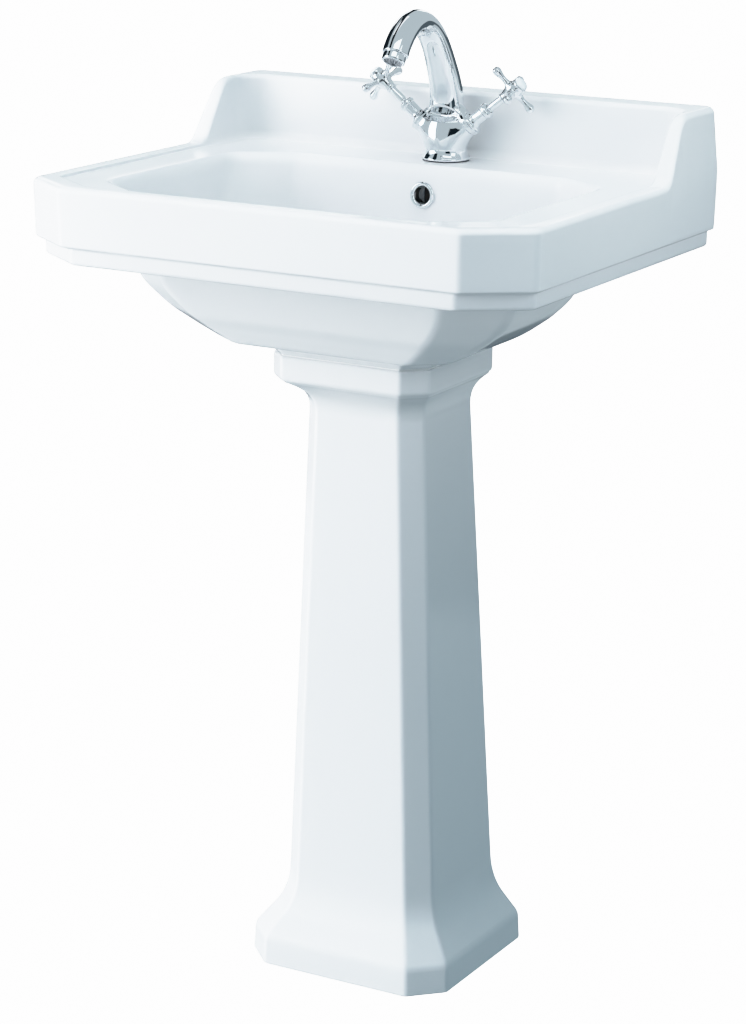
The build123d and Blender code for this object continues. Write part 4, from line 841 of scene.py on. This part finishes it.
def make_pedestal():
    rows = pedestal_skins()
    around = len(rows[0])
    faces = stacked(len(rows), around)
    last = (len(rows) - 1) * around
    for i in range(around // 2 - 1):
        j = around - 1 - i
        faces.append((i, i + 1, j - 1, j))
        faces.append((last + i, last + j, last + j - 1, last + i + 1))
    pedestal = build("Pedestal", np.concatenate(rows), faces, CHINA_SHARP)
    x, y, radius = SCREW_HOLE
    for side in (-1, 1):
        pad = soft_block("Pad", (side * (x - PAD_HALF), y - PAD_HALF, 0.3),
                         (side * (x + PAD_HALF * 0.6), y + PAD_HALF + 4, PAD_H))
        carve(pedestal, pad, "UNION")
        drill(pedestal, radius, -5, PAD_H + 5, upright(side * x, y))
    shade(pedestal.data, CHINA_SHARP)
    return even_shading(pedestal)


def soft_block(name, a, b, soft=1.5):
    """A block between two corners, its edges rounded."""
    low, high = np.minimum(a, b), np.maximum(a, b)
    points = [(x, y, z) for z in (low[2], high[2]) for y in (low[1], high[1])
              for x in (low[0], high[0])]
    faces = [(0, 2, 3, 1), (4, 5, 7, 6), (0, 1, 5, 4), (2, 6, 7, 3), (0, 4, 6, 2), (1, 3, 7, 5)]
    block = build(name, points, faces, sharp=20)
    bevel = block.modifiers.new("bevel", "BEVEL")
    bevel.width = soft * MM
    bevel.segments = 3
    return baked(block)


def bowl_back_at(z):
    """The bowl's back wall at a height."""
    low, top = WALL_LOW[2], WALL_TOP[2]
    heights = [FLOOR_Z + s[0] * (DECK_Z - FLOOR_Z) for s in reversed(BOWL_STATIONS)]
    backs = [low + s[3] * (top - low) for s in reversed(BOWL_STATIONS)]
    return float(np.interp(z, heights, backs))


OVERFLOW_Z = DECK_Z - 30.5
OVERFLOW_SPOT = (0, bowl_back_at(OVERFLOW_Z), OVERFLOW_Z)
OVERFLOW_LEAN = (bowl_back_at(OVERFLOW_Z + OVERFLOW_RING_R)
                 - bowl_back_at(OVERFLOW_Z - OVERFLOW_RING_R)) / (2 * OVERFLOW_RING_R)
OVERFLOW_AXIS = (0, -1, OVERFLOW_LEAN)


def drill(piece, radius, low, high, place, around=32):
    """Cut a round hole along a place's axis, from low to high."""
    carve(piece, turned("Drill", [(radius, low), (radius, high)], place, around))


def drilled_basin():
    """The basin with its overflow, tap hole, wall holes and hollow splashback."""
    basin = make_basin()
    block, channel = make_duct()
    carve(basin, block, "UNION")
    core_half = BASIN_HALF - BAND_INSET - CHINA - WING_CORNER_R
    core = soft_block("Core", (-core_half, BACK_Y - UPSTAND + CHINA, BAND_Z - 4),
                      (core_half, BACK_Y - CHINA - 0.1, TOP_Z - CHINA), 3)
    carve(basin, core)
    carve(basin, channel)
    drill(basin, OVERFLOW_HOLE_R, -CHINA - 8, CHINA + 2, lean_to(OVERFLOW_SPOT, OVERFLOW_AXIS), 48)
    drill(basin, TAP_HOLE_R, -30, 20, upright(0, TAP_Y, DECK_Z), 64)
    x, z, radius = WALL_HOLE
    for side in (-1, 1):
        drill(basin, radius, 0, CHINA + 8, lean_to((side * x, BACK_Y - CHINA - 4, z), (0, 1, 0)))
    shade(basin.data, CHINA_SHARP)
    return even_shading(basin)


# ---- tap's body
ARM_CROSSING = (0, TAP_Y, ARM_ROOT_Z)
FOOT_PROFILE = [(0, 0.5), (FLANGE_R - 0.7, 0.5), (FLANGE_R - 0.5, 1.6)]
FOOT_PROFILE += [(WAIST_R - 0.6 + (FLANGE_R - WAIST_R) * (1 - t) ** 2.1, 2.2 + 11.5 * t)
                 for t in np.linspace(0.03, 1, 14)]
FOOT_PROFILE += [(WAIST_R - 0.6, 28), (WAIST_R - 1.6, 40), (0, 40)]
ARM_PROFILE = [(0, 5), (15.5, 5), (13.2, 19), (11.9, 28), (11.35, 32.6), (11.9, 33.4),
               (ARM_R - 0.6, 34.4), (ARM_R - 0.6, ARM_END - 0.6), (0, ARM_END - 0.6)]
SPOUT_SKIP = 5  # every so many points of the centre line, to look near first


def arm_axis(side):
    return (side * math.cos(ARM_LEAN), 0, math.sin(ARM_LEAN))


def on_arm(side):
    """The place of a piece that is turned about an arm's axis."""
    return lean_to(ARM_CROSSING, arm_axis(side))


def lengths(line):
    """Distance from the start of a line to each of its points, by their first two numbers."""
    return np.concatenate([[0], np.cumsum(np.linalg.norm(np.diff(line[:, :2], axis=0), axis=1))])


def toward(a, b, low, high, t):
    """Where a straight run that is at a when t is low and at b when it is high has come to."""
    return ((high - t) * a + (t - low) * b) / (high - low)


def smooth_line(points, count):
    """A smooth curve through points, cut into equal lengths."""
    points = np.array(points, float)
    padded = np.vstack([2 * points[0] - points[1], points, 2 * points[-1] - points[-2]])
    curve = []
    for start in range(len(points) - 1):
        near = padded[start:start + 4]
        knots = np.concatenate([[0], np.cumsum(np.sqrt(np.diff(lengths(near))))])
        for t in np.linspace(knots[1], knots[2], 24, endpoint=False):
            runs = [toward(near[k], near[k + 1], knots[k], knots[k + 1], t) for k in range(3)]
            bends = [toward(runs[k], runs[k + 1], knots[k], knots[k + 2], t) for k in range(2)]
            curve.append(toward(bends[0], bends[1], knots[1], knots[2], t))
    curve = np.array(curve + [points[-1]])
    along = lengths(curve)
    places = np.linspace(0, along[-1], count)
    return np.column_stack([np.interp(places, along, column) for column in curve.T])


def spout_line():
    """The spout's centre line, finely divided: points, directions and half sizes."""
    rows = smooth_line([(TAP_Y - reach, TAP_Z + height, a, b)
                        for reach, height, a, b in SPOUT_STATIONS], 160)
    centre, sizes = rows[:, :2], rows[:, 2:]
    ahead = np.gradient(centre, axis=0)
    ahead /= np.linalg.norm(ahead, axis=1)[:, None]
    return centre, ahead, sizes


def spout_field():
    """Distance to the swept spout, cut square at its tip."""
    centre, ahead, sizes = spout_line()
    spacing = np.linalg.norm(centre[1] - centre[0])
    last = len(centre) - 1

    def line_at(place):
        """The line's point, direction and half sizes at places between its points."""
        i = np.clip(place.astype(int), 0, last - 1)
        t = (place - i)[:, None]
        return [values[i] * (1 - t) + values[i + 1] * t for values in (centre, ahead, sizes)]

    def field(points):
        across, flat = points[:, 0], points[:, 1:]
        coarse = centre[::SPOUT_SKIP]
        gap = (flat[:, :1] - coarse[:, 0]) ** 2 + (flat[:, 1:] - coarse[:, 1]) ** 2
        place = gap.argmin(1) * float(SPOUT_SKIP)
        for turn in range(5):
            spot, way = line_at(place)[:2]
            place = np.clip(place + ((flat - spot) * way).sum(1) / spacing * 0.9, 0, last)
        spot, way, size = line_at(place)
        off = flat - spot
        up = off[:, 0] * way[:, 1] - off[:, 1] * way[:, 0]
        q = np.hypot(across / size[:, 0], up / size[:, 1]) + 1e-9
        slope = np.hypot(across / size[:, 0] ** 2, up / size[:, 1] ** 2) + 1e-9
        round_part = (q - 1) * q / slope
        ends = np.maximum((flat - centre[-1]) @ ahead[-1], (centre[0] - flat) @ ahead[0])
        return -blended(-round_part, -ends, 1.6)

    return field


def tap_field():
    """Distance to the tap's foot, arms and spout in one casting."""
    foot = turned_field((0, TAP_Y, TAP_Z), (0, 0, 1), FOOT_PROFILE, 0.5)
    hot, cold = (turned_field(ARM_CROSSING, arm_axis(side), ARM_PROFILE, 0.6) for side in (-1, 1))
    spout = spout_field()

    def field(points):
        casting = blended(foot(points), spout(points), SPOUT_BLEND)
        return blended(casting, np.minimum(hot(points), cold(points)), ARM_BLEND)

    return field


def rough_spout():
    """The spout as a plain swept shape, for the casting to start from."""
    turns = np.linspace(0, 2 * math.pi, 48, endpoint=False)
    rows = []
    for spot, way, size in zip(*spout_line()):
        up = np.outer(np.sin(turns) * size[1], [way[1], -way[0]])
        rows.append(np.column_stack([np.cos(turns) * size[0], spot + up]))
    return lofted("RoughSpout", rows)


def rough_turned(profile, more, place, around=72):
    """A turned shape a little larger than its profile, for a casting to start from."""
    return turned("Rough", [(r + more, h) for r, h in profile[1:-1]], place, around)


def make_tap_body():
    parts = [rough_turned(FOOT_PROFILE, 0.3, upright(0, TAP_Y, TAP_Z)), rough_spout()]
    parts += [rough_turned(ARM_PROFILE, 0.3, on_arm(side)) for side in (-1, 1)]
    return polished("TapBody", parts, tap_field(), FINE)


# ---- handles
def spoke_axes(side):
    """The four directions of a cross handle's spokes at rest."""
    level = Vector((0, -1, 0))
    other = Vector(arm_axis(side)).cross(level)
    angles = [turn * math.pi / 2 + side * HANDLE_TWIST for turn in range(4)]
    return [tuple(level * math.cos(angle) + other * math.sin(angle)) for angle in angles]


def make_handle(side):
    """Hub and four spokes, cast in one."""
    axis = arm_axis(side)
    centre = tuple(np.array(ARM_CROSSING) + np.array(axis) * HUB_CENTRE)
    soft = 0.45
    inner, outer = -HUB_IN + soft, HUB_OUT - soft
    hub = [(0, inner)] + [(r - soft, h) for r, h in [
        (6, inner), (6, -14.0 - soft), (5.4, -13.2), (5.5, -11.5), (6.1, -9), (7.2, -6.6), (8.3, -4.4),
        (HUB_R, -1.8), (HUB_R, 2.6), (8.6, 6), (8, 7.8), (8.4, 8.6), (8.4, outer)]] + [(0, outer)]
    spoke = [(0, SPOKE_LINE[0][0])] + [(max(r, 0.02), h) for h, r in SPOKE_LINE]
    rough_spoke = [(max(r, 0.4), h) for h, r in SPOKE_LINE]
    hub_field = turned_field(centre, axis, hub, soft)
    spoke_fields = [turned_field(centre, way, spoke, 0) for way in spoke_axes(side)]
    parts = [rough_turned(hub, soft * 0.7, lean_to(centre, axis), 48)]
    parts += [turned("Rough", rough_spoke, lean_to(centre, way), 32) for way in spoke_axes(side)]

    def field(points):
        spokes = np.minimum.reduce([spoke_field(points) for spoke_field in spoke_fields])
        return blended(hub_field(points), spokes, SPOKE_BLEND)

    return polished("Handle" + SIDE_NAMES[side], parts, field, FINE * 0.75)


# ---- smaller turned pieces
def make_bonnet(side):
    """Shroud over the valve, with a flange, a plain barrel and a ring at its end."""
    low, high, r = ARM_END, BONNET_END, BONNET_R
    bore = SPINDLE_R + 0.3
    line = [(bore, low), (11.2, low), (11.2, low + 1.2), (10.4, low + 2.2), (8.6, low + 3.2),
            (r + 0.3, low + 5), (r, low + 7), (r, high - 7.2), (r + 0.9, high - 6.2), (r + 1.3, high - 5.4),
            (r + 1.3, high - 2.6), (r + 0.4, high - 1.4), (r - 1.6, high), (bore, high)]
    return turned("Bonnet" + SIDE_NAMES[side], soft_ring(line, 0.45), on_arm(side), closed=True)


def make_spindle(side):
    """Spindle with a groove where it leaves the bonnet."""
    low, high, end, r = ARM_END + 2, HUB_CENTRE - HUB_IN + 3, BONNET_END, SPINDLE_R
    line = [(0.2, low), (r, low), (r, end + 0.8), (r - 0.5, end + 1.2), (r - 0.5, end + 2.0),
            (r, end + 2.4), (r, high), (0.2, high)]
    return turned("Spindle" + SIDE_NAMES[side], soft_profile(line, 0.2), on_arm(side))


def make_cap(side):
    """Domed porcelain cap in the hub's outer end."""
    low = HUB_CENTRE + HUB_OUT
    line = [(0.1, low - 2.5), (6.6, low - 2.5), (6.8, low + 0.1), (CAP_R - 0.5, low + 0.12),
            (CAP_R, low + 0.5)]
    line += [(CAP_R * math.cos(angle) + 0.02, low + 0.4 + (CAP_RISE - 0.4) * math.sin(angle))
             for angle in np.linspace(0.12, 1, 16) * math.pi / 2]
    return turned("IndexCap" + SIDE_NAMES[side], line, on_arm(side))


def make_nozzle():
    """Aerator housing below the spout's tip."""
    centre, ahead = spout_line()[:2]
    line = [(8.4, -0.8), (11.2, -0.8), (11.2, 0.5), (12, 0.9), (12, 6.6), (11.6, 7.9), (10.6, 8.5),
            (9.5, 8.5), (9.3, 7.8), (9.3, 2.2), (8.4, 2.0)]
    place = lean_to((0, *centre[-1]), (0, *ahead[-1]))
    return turned("Nozzle", soft_ring(line, 0.35), place, closed=True)


def make_overflow_ring():
    """Chrome ring in the overflow, with its sleeve in the bowl's wall."""
    r = OVERFLOW_RING_R
    line = [(8.7, -9), (10.3, -9), (10.3, 0.15), (r - 0.4, 0.15), (r, 0.7), (r - 0.3, 1.6), (12.9, 2.6),
            (11.6, 2.9), (10.2, 2.4), (9.2, 1.2), (8.7, -0.6)]
    place = lean_to(OVERFLOW_SPOT, Vector(OVERFLOW_AXIS).normalized())
    return turned("OverflowRing", soft_ring(line, 0.5), place, closed=True)


def make_waste_flange():
    """Waste body: its flange in the bowl's floor and its threaded tail below."""
    low, high = waste_low.z, waste_high.z
    bore, tail, pitch = 17.5, 20.9, 2.0
    turns = int((FLOOR_Z - 9 - low - 3) / pitch)
    line = [(bore, low), (tail, low)]
    for i in range(turns):
        z = low + 2 + i * pitch
        line += [(tail, z), (tail - 0.75, z + pitch / 2)]
    line += [(tail, low + 2 + turns * pitch), (tail, high - 3), (31.2, high - 3), (31.5, high - 2.2),
             (31.2, high - 1.2), (30.0, high - 0.4), (28.0, high), (25.0, high - 0.1), (22.5, high - 0.9),
             (19.5, high - 2.6), (17.8, high - 4.6), (bore, high - 6)]
    return turned("WasteBody", line, upright(0, WASTE_Y), 96, sharp=25, closed=True)


def make_plug():
    """Domed plug on its stem."""
    low, high = node_box("waste_plug")
    rim = (high.x - low.x) / 2
    top = high.z
    line = [(0.2, low.z), (3.6, low.z), (4, low.z + 0.5), (4, top - 7.4), (rim - 1.2, top - 7.4),
            (rim - 0.3, top - 7.0), (rim, top - 6.2), (rim - 0.1, top - 5.2), (rim - 0.9, top - 4.4)]
    line += [(rim * share, top - 4.6 * share ** 2.6)
             for share in (0.9, 0.8, 0.68, 0.55, 0.42, 0.3, 0.18, 0.06)]
    line.append((0.2, top))
    return turned("WastePlug", soft_profile(line, 0.3), upright(0, WASTE_Y), 96)


# ---- materials
def set_inputs(node, values):
    for name, value in values.items():
        node.inputs[name].default_value = value


def new_material(name, color):
    """A new material of one colour, with its main shader."""
    material = bpy.data.materials.new(name)
    material.use_nodes = True
    shader = material.node_tree.nodes["Principled BSDF"]
    set_inputs(shader, {"Base Color": (*color, 1)})
    return material, shader


def surface(name, color, roughness, metallic=0.0, scale=30.0, uneven=0.02, wave=0.0,
            wave_scale=14.0, fine=0.0, fine_scale=600.0, tint=None):
    """A procedural finish: uneven roughness, slow waves and a fine grain."""
    material, shader = new_material(name, color)
    nodes, links = material.node_tree.nodes, material.node_tree.links
    set_inputs(shader, {"Metallic": metallic})
    place = nodes.new("ShaderNodeTexCoord")

    def noise(size, detail):
        node = nodes.new("ShaderNodeTexNoise")
        set_inputs(node, {"Scale": size, "Detail": detail})
        links.new(place.outputs["Object"], node.inputs["Vector"])
        return node.outputs["Fac"]

    spread = nodes.new("ShaderNodeMapRange")
    set_inputs(spread, {"From Min": 0.3, "From Max": 0.7,
                        "To Min": roughness - uneven, "To Max": roughness + uneven})
    links.new(noise(scale, 3.0), spread.inputs["Value"])
    links.new(spread.outputs["Result"], shader.inputs["Roughness"])
    if tint:
        ramp = nodes.new("ShaderNodeMix")
        ramp.data_type = "RGBA"
        set_inputs(ramp, {"A": (*color, 1), "B": (*tint, 1)})
        links.new(noise(scale * 0.3, 2.0), ramp.inputs["Factor"])
        links.new(ramp.outputs["Result"], shader.inputs["Base Color"])
    normal = None
    for size, detail, height in ((wave_scale, 1.0, wave), (fine_scale, 2.0, fine)):
        if height:
            bump = nodes.new("ShaderNodeBump")
            set_inputs(bump, {"Strength": 1.0, "Distance": height * MM})
            links.new(noise(size, detail), bump.inputs["Height"])
            if normal:
                links.new(normal, bump.inputs["Normal"])
            normal = bump.outputs["Normal"]
    if normal:
        links.new(normal, shader.inputs["Normal"])
    return material


FINISHES = {
    "china": surface("WhiteChina", (0.73, 0.745, 0.76), 0.09, scale=18, uneven=0.025, wave=0.35,
                     wave_scale=11, fine=0.004, fine_scale=420, tint=(0.745, 0.755, 0.765)),
    # the overflow channel's inside: unglazed clay whose near-black colour is painted shade
    "clay_painted_shade": surface("ClayPaintedShade", (0.06, 0.058, 0.055), 0.85, scale=120, uneven=0.05, fine=0.02),
    "porcelain": surface("Porcelain", (0.70, 0.74, 0.76), 0.08, scale=60, uneven=0.02, fine=0.003,
                         tint=(0.74, 0.77, 0.785)),
    "chrome": surface("Chrome", (0.86, 0.88, 0.895), 0.045, metallic=1.0, scale=80, uneven=0.015,
                      fine=0.0006, fine_scale=900),
    "brass": surface("Brass", (0.72, 0.53, 0.24), 0.28, metallic=1.0, scale=90, uneven=0.08,
                     fine=0.01, tint=(0.62, 0.44, 0.20)),
    "copper": surface("Copper", (0.80, 0.44, 0.29), 0.30, metallic=1.0, scale=40, uneven=0.04,
                      fine=0.001, tint=(0.74, 0.40, 0.26)),
    "steel": surface("ZincedSteel", (0.60, 0.61, 0.62), 0.33, metallic=1.0, scale=120, uneven=0.07,
                     fine=0.01, tint=(0.66, 0.67, 0.66)),
    "rubber": surface("BlackRubber", (0.022, 0.022, 0.025), 0.62, scale=200, uneven=0.08, fine=0.02),
    "sealant": surface("Sealant", (0.80, 0.81, 0.81), 0.42, scale=90, uneven=0.08, fine=0.02),
    "white_plastic": surface("WhitePlastic", (0.80, 0.80, 0.785), 0.28, scale=70, uneven=0.05,
                             fine=0.008, tint=(0.77, 0.77, 0.75)),
    "grey_plastic": surface("GreyPlastic", (0.28, 0.30, 0.33), 0.42, scale=90, uneven=0.06, fine=0.012),
}


def paint(piece, slot):
    piece.data.materials.clear()
    piece.data.materials.append(FINISHES[slot])


def enter(piece, body, slot, *nodes):
    """Give a piece its finish, its body and the CAD nodes it stands for."""
    paint(piece, slot)
    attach(piece, body)
    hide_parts(*nodes)


def paint_duct_shade(basin):
    """Painted shade inside the overflow's channel: its faces take an unglazed clay finish coloured near
    black to stand in for the channel's shadow.
    """
    basin.data.materials.append(FINISHES["clay_painted_shade"])
    half = DUCT_HALF - DUCT_SKIN + 0.1
    rear_y, rear_z = zip(*DUCT_REAR)
    for polygon in basin.data.polygons:
        x, y, z = polygon.center / MM
        deepest = np.interp(z, rear_z, rear_y) - DUCT_SKIN / 2
        if abs(x) < half and OVERFLOW_SPOT[1] + 2 < y < deepest and FLOOR_Z - CHINA < z < DUCT_TOP - 1:
            polygon.material_index = 1


# ---- assembly
basin = drilled_basin()
enter(basin, "sink", "china", "basin")
# the overflow's channel gets painted shade: its inside is coloured near black
paint_duct_shade(basin)
enter(make_pedestal(), "sink", "china", "pedestal")
enter(make_tap_body(), "sink", "chrome", "tap_body")
enter(make_nozzle(), "sink", "chrome", "nozzle_housing")
enter(make_overflow_ring(), "sink", "chrome", "overflow_ring")
enter(make_waste_flange(), "sink", "chrome", "waste_body")
enter(make_plug(), "plug", "chrome", "waste_plug")
for side, word in ((-1, "hot"), (1, "cold")):
    group = word + "_handle_group"
    enter(make_bonnet(side), "sink", "chrome", word + "_bonnet")
    enter(make_spindle(side), group, "chrome", word + "_spindle")
    enter(make_handle(side), group, "chrome", word + "_handle")
    enter(make_cap(side), group, "porcelain", word + "_index_cap")
for part in frame["record"]["subparts"]:
    node = frame["nodes"][part["node"]]
    paint(node, part["material_slot"])

# ---- studio and light
BLACK = (0, 0, 0)
BLACK_CLOTH = (0.006, 0.012, 0.017)
GROUND_HALF = 30000
GROUND_GAP = 0.3  # the white ground lies this far below the pedestal
DOME_R = 28000
TENT_R = 7000
CARD_DISTANCE = 3000
CARD_MIDDLE = Vector((0, TAP_Y, TAP_Z + 80))


def stage_cloth(piece, own, glow, seen=False):
    """Hang a cloth of the studio, from its own colour and the light that it gives off. It lights
    nothing, and it shows either to the camera or as a mirror image in metal and glaze."""
    material, shader = new_material(piece.name + "Cloth", own)
    set_inputs(shader, {"Roughness": 0.9, "Specular IOR Level": 0.0,
                        "Emission Color": (*glow, 1), "Emission Strength": 1.0})
    piece.data.materials.append(material)
    piece.visible_camera = seen
    piece.visible_glossy = not seen
    piece.visible_diffuse = False
    piece.visible_shadow = False


def flat_sheet(name, middle, across, upward):
    """A sheet with four corners, from its middle and its half sizes as directions."""
    corners = [middle + across * a + upward * b for a, b in ((-1, -1), (1, -1), (1, 1), (-1, 1))]
    return build(name, corners, [(0, 1, 2, 3)])


def vault(name, radius, lowest, steps):
    """Part of a ball round the sink, from an angle to the horizon up to the top."""
    turns = np.radians(np.linspace(lowest, 89, steps))
    return turned(name, [(radius * math.cos(turn), radius * math.sin(turn)) for turn in turns], upright())


def card(name, turn, rise, width, height, color):
    """Sheet that faces the tap: turn is its bearing from the front towards the right, rise its height
    above the horizon, and width and height are the angles that it fills, all in degrees."""
    turn, rise, half_width, half_height = np.radians([turn, rise, width / 2, height / 2])
    towards = Vector((math.sin(turn) * math.cos(rise), -math.cos(turn) * math.cos(rise), math.sin(rise)))
    across = Vector((math.cos(turn), math.sin(turn), 0))
    upward = across.cross(towards)
    sheet = flat_sheet(name, CARD_MIDDLE + towards * CARD_DISTANCE,
                       across * CARD_DISTANCE * math.tan(half_width),
                       upward * CARD_DISTANCE * math.tan(half_height))
    stage_cloth(sheet, BLACK, color)


def overhead_strip(name, aside, width, low, high, color):
    """Narrow cloth that passes over the tap from the front to the back, left of it: aside and width
    are shares of its distance, low and high the angles from the front horizon where it ends."""
    reach = math.sqrt(1 - aside * aside)
    points = [CARD_MIDDLE + CARD_DISTANCE * Vector((
                  -(aside + edge), -reach * math.cos(turn), reach * math.sin(turn)))
              for turn in np.radians(np.linspace(low, high, 40)) for edge in (-width / 2, width / 2)]
    faces = [(i, i + 1, i + 3, i + 2) for i in range(0, len(points) - 2, 2)]
    stage_cloth(build(name, points, faces), BLACK, color)


ground = flat_sheet("Floor", Vector((0, 0, -GROUND_GAP)), Vector((GROUND_HALF, 0, 0)),
                    Vector((0, GROUND_HALF, 0)))
stage_cloth(ground, (0.45, 0.45, 0.45), (1.75, 1.75, 1.75), seen=True)
stage_cloth(vault("Backdrop", DOME_R, 0, 24), BLACK, (2.1, 2.1, 2.1), seen=True)
stage_cloth(vault("Tent", TENT_R, -89, 40), BLACK, (0.50, 0.58, 0.62))
card("WhiteCardLeft", -50, 4, 34, 48, (2.2, 2.3, 2.4))
card("BlackCardLeft", -108, 10, 58, 62, BLACK_CLOTH)
overhead_strip("BlackStrip", 0.5, 0.3, 36, 168, BLACK_CLOTH)
card("BlackCardCamera", 31, -5, 32, 38, BLACK_CLOTH)
card("WhiteCardAbove", 30, 52, 40, 20, (1.5, 1.6, 1.65))
card("WhiteCardSide", -108, 63, 34, 20, (1.15, 1.2, 1.25))
card("GreyCardBack", 190, -14, 84, 30, (0.08, 0.11, 0.13))
card("WhiteCardBack", 215, 19, 40, 20, (1.5, 1.55, 1.6))
card("BlackCardRight", 95, -24, 70, 44, (0.03, 0.05, 0.065))
card("WhiteCardRight", 66, 22, 22, 30, (1.3, 1.4, 1.45))


def studio_world(below, above):
    """Even light, of one strength from below the horizon and another from above it."""
    world = bpy.data.worlds.new("Studio")
    bpy.context.scene.world = world
    world.use_nodes = True
    nodes, links = world.node_tree.nodes, world.node_tree.links
    direction = nodes.new("ShaderNodeTexCoord")
    split = nodes.new("ShaderNodeSeparateXYZ")
    share = nodes.new("ShaderNodeMapRange")
    set_inputs(share, {"From Min": -0.15, "From Max": 0.05})
    sky = nodes.new("ShaderNodeMix")
    sky.data_type = "RGBA"
    set_inputs(sky, {"A": (*below, 1), "B": (*above, 1)})
    links.new(direction.outputs["Generated"], split.inputs["Vector"])
    links.new(split.outputs["Z"], share.inputs["Value"])
    links.new(share.outputs["Result"], sky.inputs["Factor"])
    links.new(sky.outputs["Result"], nodes["Background"].inputs["Color"])


def soft_light(name, spot, target, width, height, power, color=(1, 1, 1)):
    """A lamp panel that faces its target and has no mirror image."""
    light = bpy.data.lights.new(name, "AREA")
    light.shape = "RECTANGLE"
    light.size, light.size_y = width, height
    light.energy = power
    light.color = color
    lamp = new_object(name, light)
    lamp.location = spot
    lamp.rotation_euler = (Vector(target) - Vector(spot)).to_track_quat("-Z", "Y").to_euler()
    lamp.visible_glossy = False


MIDDLE = (0, 0, 0.6)  # where most lamps point
studio_world((0.185, 0.26, 0.30), (0.07, 0.205, 0.275))
soft_light("KeyPanel", (-1.9, -2.4, 2.0), MIDDLE, 1.8, 1.8, 52, (1, 0.94, 0.97))
soft_light("LeftPanel", (-2.5, -0.7, 0.95), MIDDLE, 3.0, 1.8, 36, (0.95, 0.95, 1.0))
soft_light("FrontPanel", (-0.75, -3.0, 1.25), MIDDLE, 2.0, 2.0, 35)
soft_light("TopPanel", (0, -0.3, 3.0), MIDDLE, 2.4, 1.8, 50)
soft_light("LowPanel", (-2.0, -1.6, 0.3), MIDDLE, 2.4, 0.6, 54)
soft_light("RightPanel", (0.95, 0.0, 1.02), (0.28, 0, 0.84), 0.6, 0.4, 4.1)
soft_light("BackPanel", (-1.2, 2.4, 1.2), (0, 0.2, 0.6), 1.6, 1.6, 80, (1, 0.95, 0.9))

# ---- camera
CAMERA_PLACE = (1.4553, -2.6006, 1.3077)
TURN, DIP, ROLL = np.radians([29.1, 15.2, 0.7])
lens = bpy.data.cameras.new("Camera")
lens.lens = 105.69
lens.sensor_width = 36
camera = new_object("Camera", lens)
camera.matrix_world = (Matrix.Translation(CAMERA_PLACE) @ Matrix.Rotation(TURN, 4, "Z")
                       @ Matrix.Rotation(math.pi / 2 - DIP, 4, "X") @ Matrix.Rotation(ROLL, 4, "Z"))
bpy.context.scene.camera = camera

# A soft shoulder keeps the lit china just short of the white floor: (light, shown) along the curve.
SHOULDER = [(0.2, 0.2), (0.5, 0.5), (0.7, 0.69), (0.85, 0.79), (1.0, 0.86), (1.2, 0.915), (1.5, 0.955)]
BRIGHTEST = (2.0, 0.985)
view = bpy.context.scene.view_settings
view.view_transform = "Standard"
view.use_curve_mapping = True
view.curve_mapping.white_level = (BRIGHTEST[0],) * 3
curve = view.curve_mapping.curves[3]
curve.points[-1].location = (1, BRIGHTEST[1])
for light, shown in SHOULDER:
    curve.points.new(light / BRIGHTEST[0], shown)
view.curve_mapping.update()
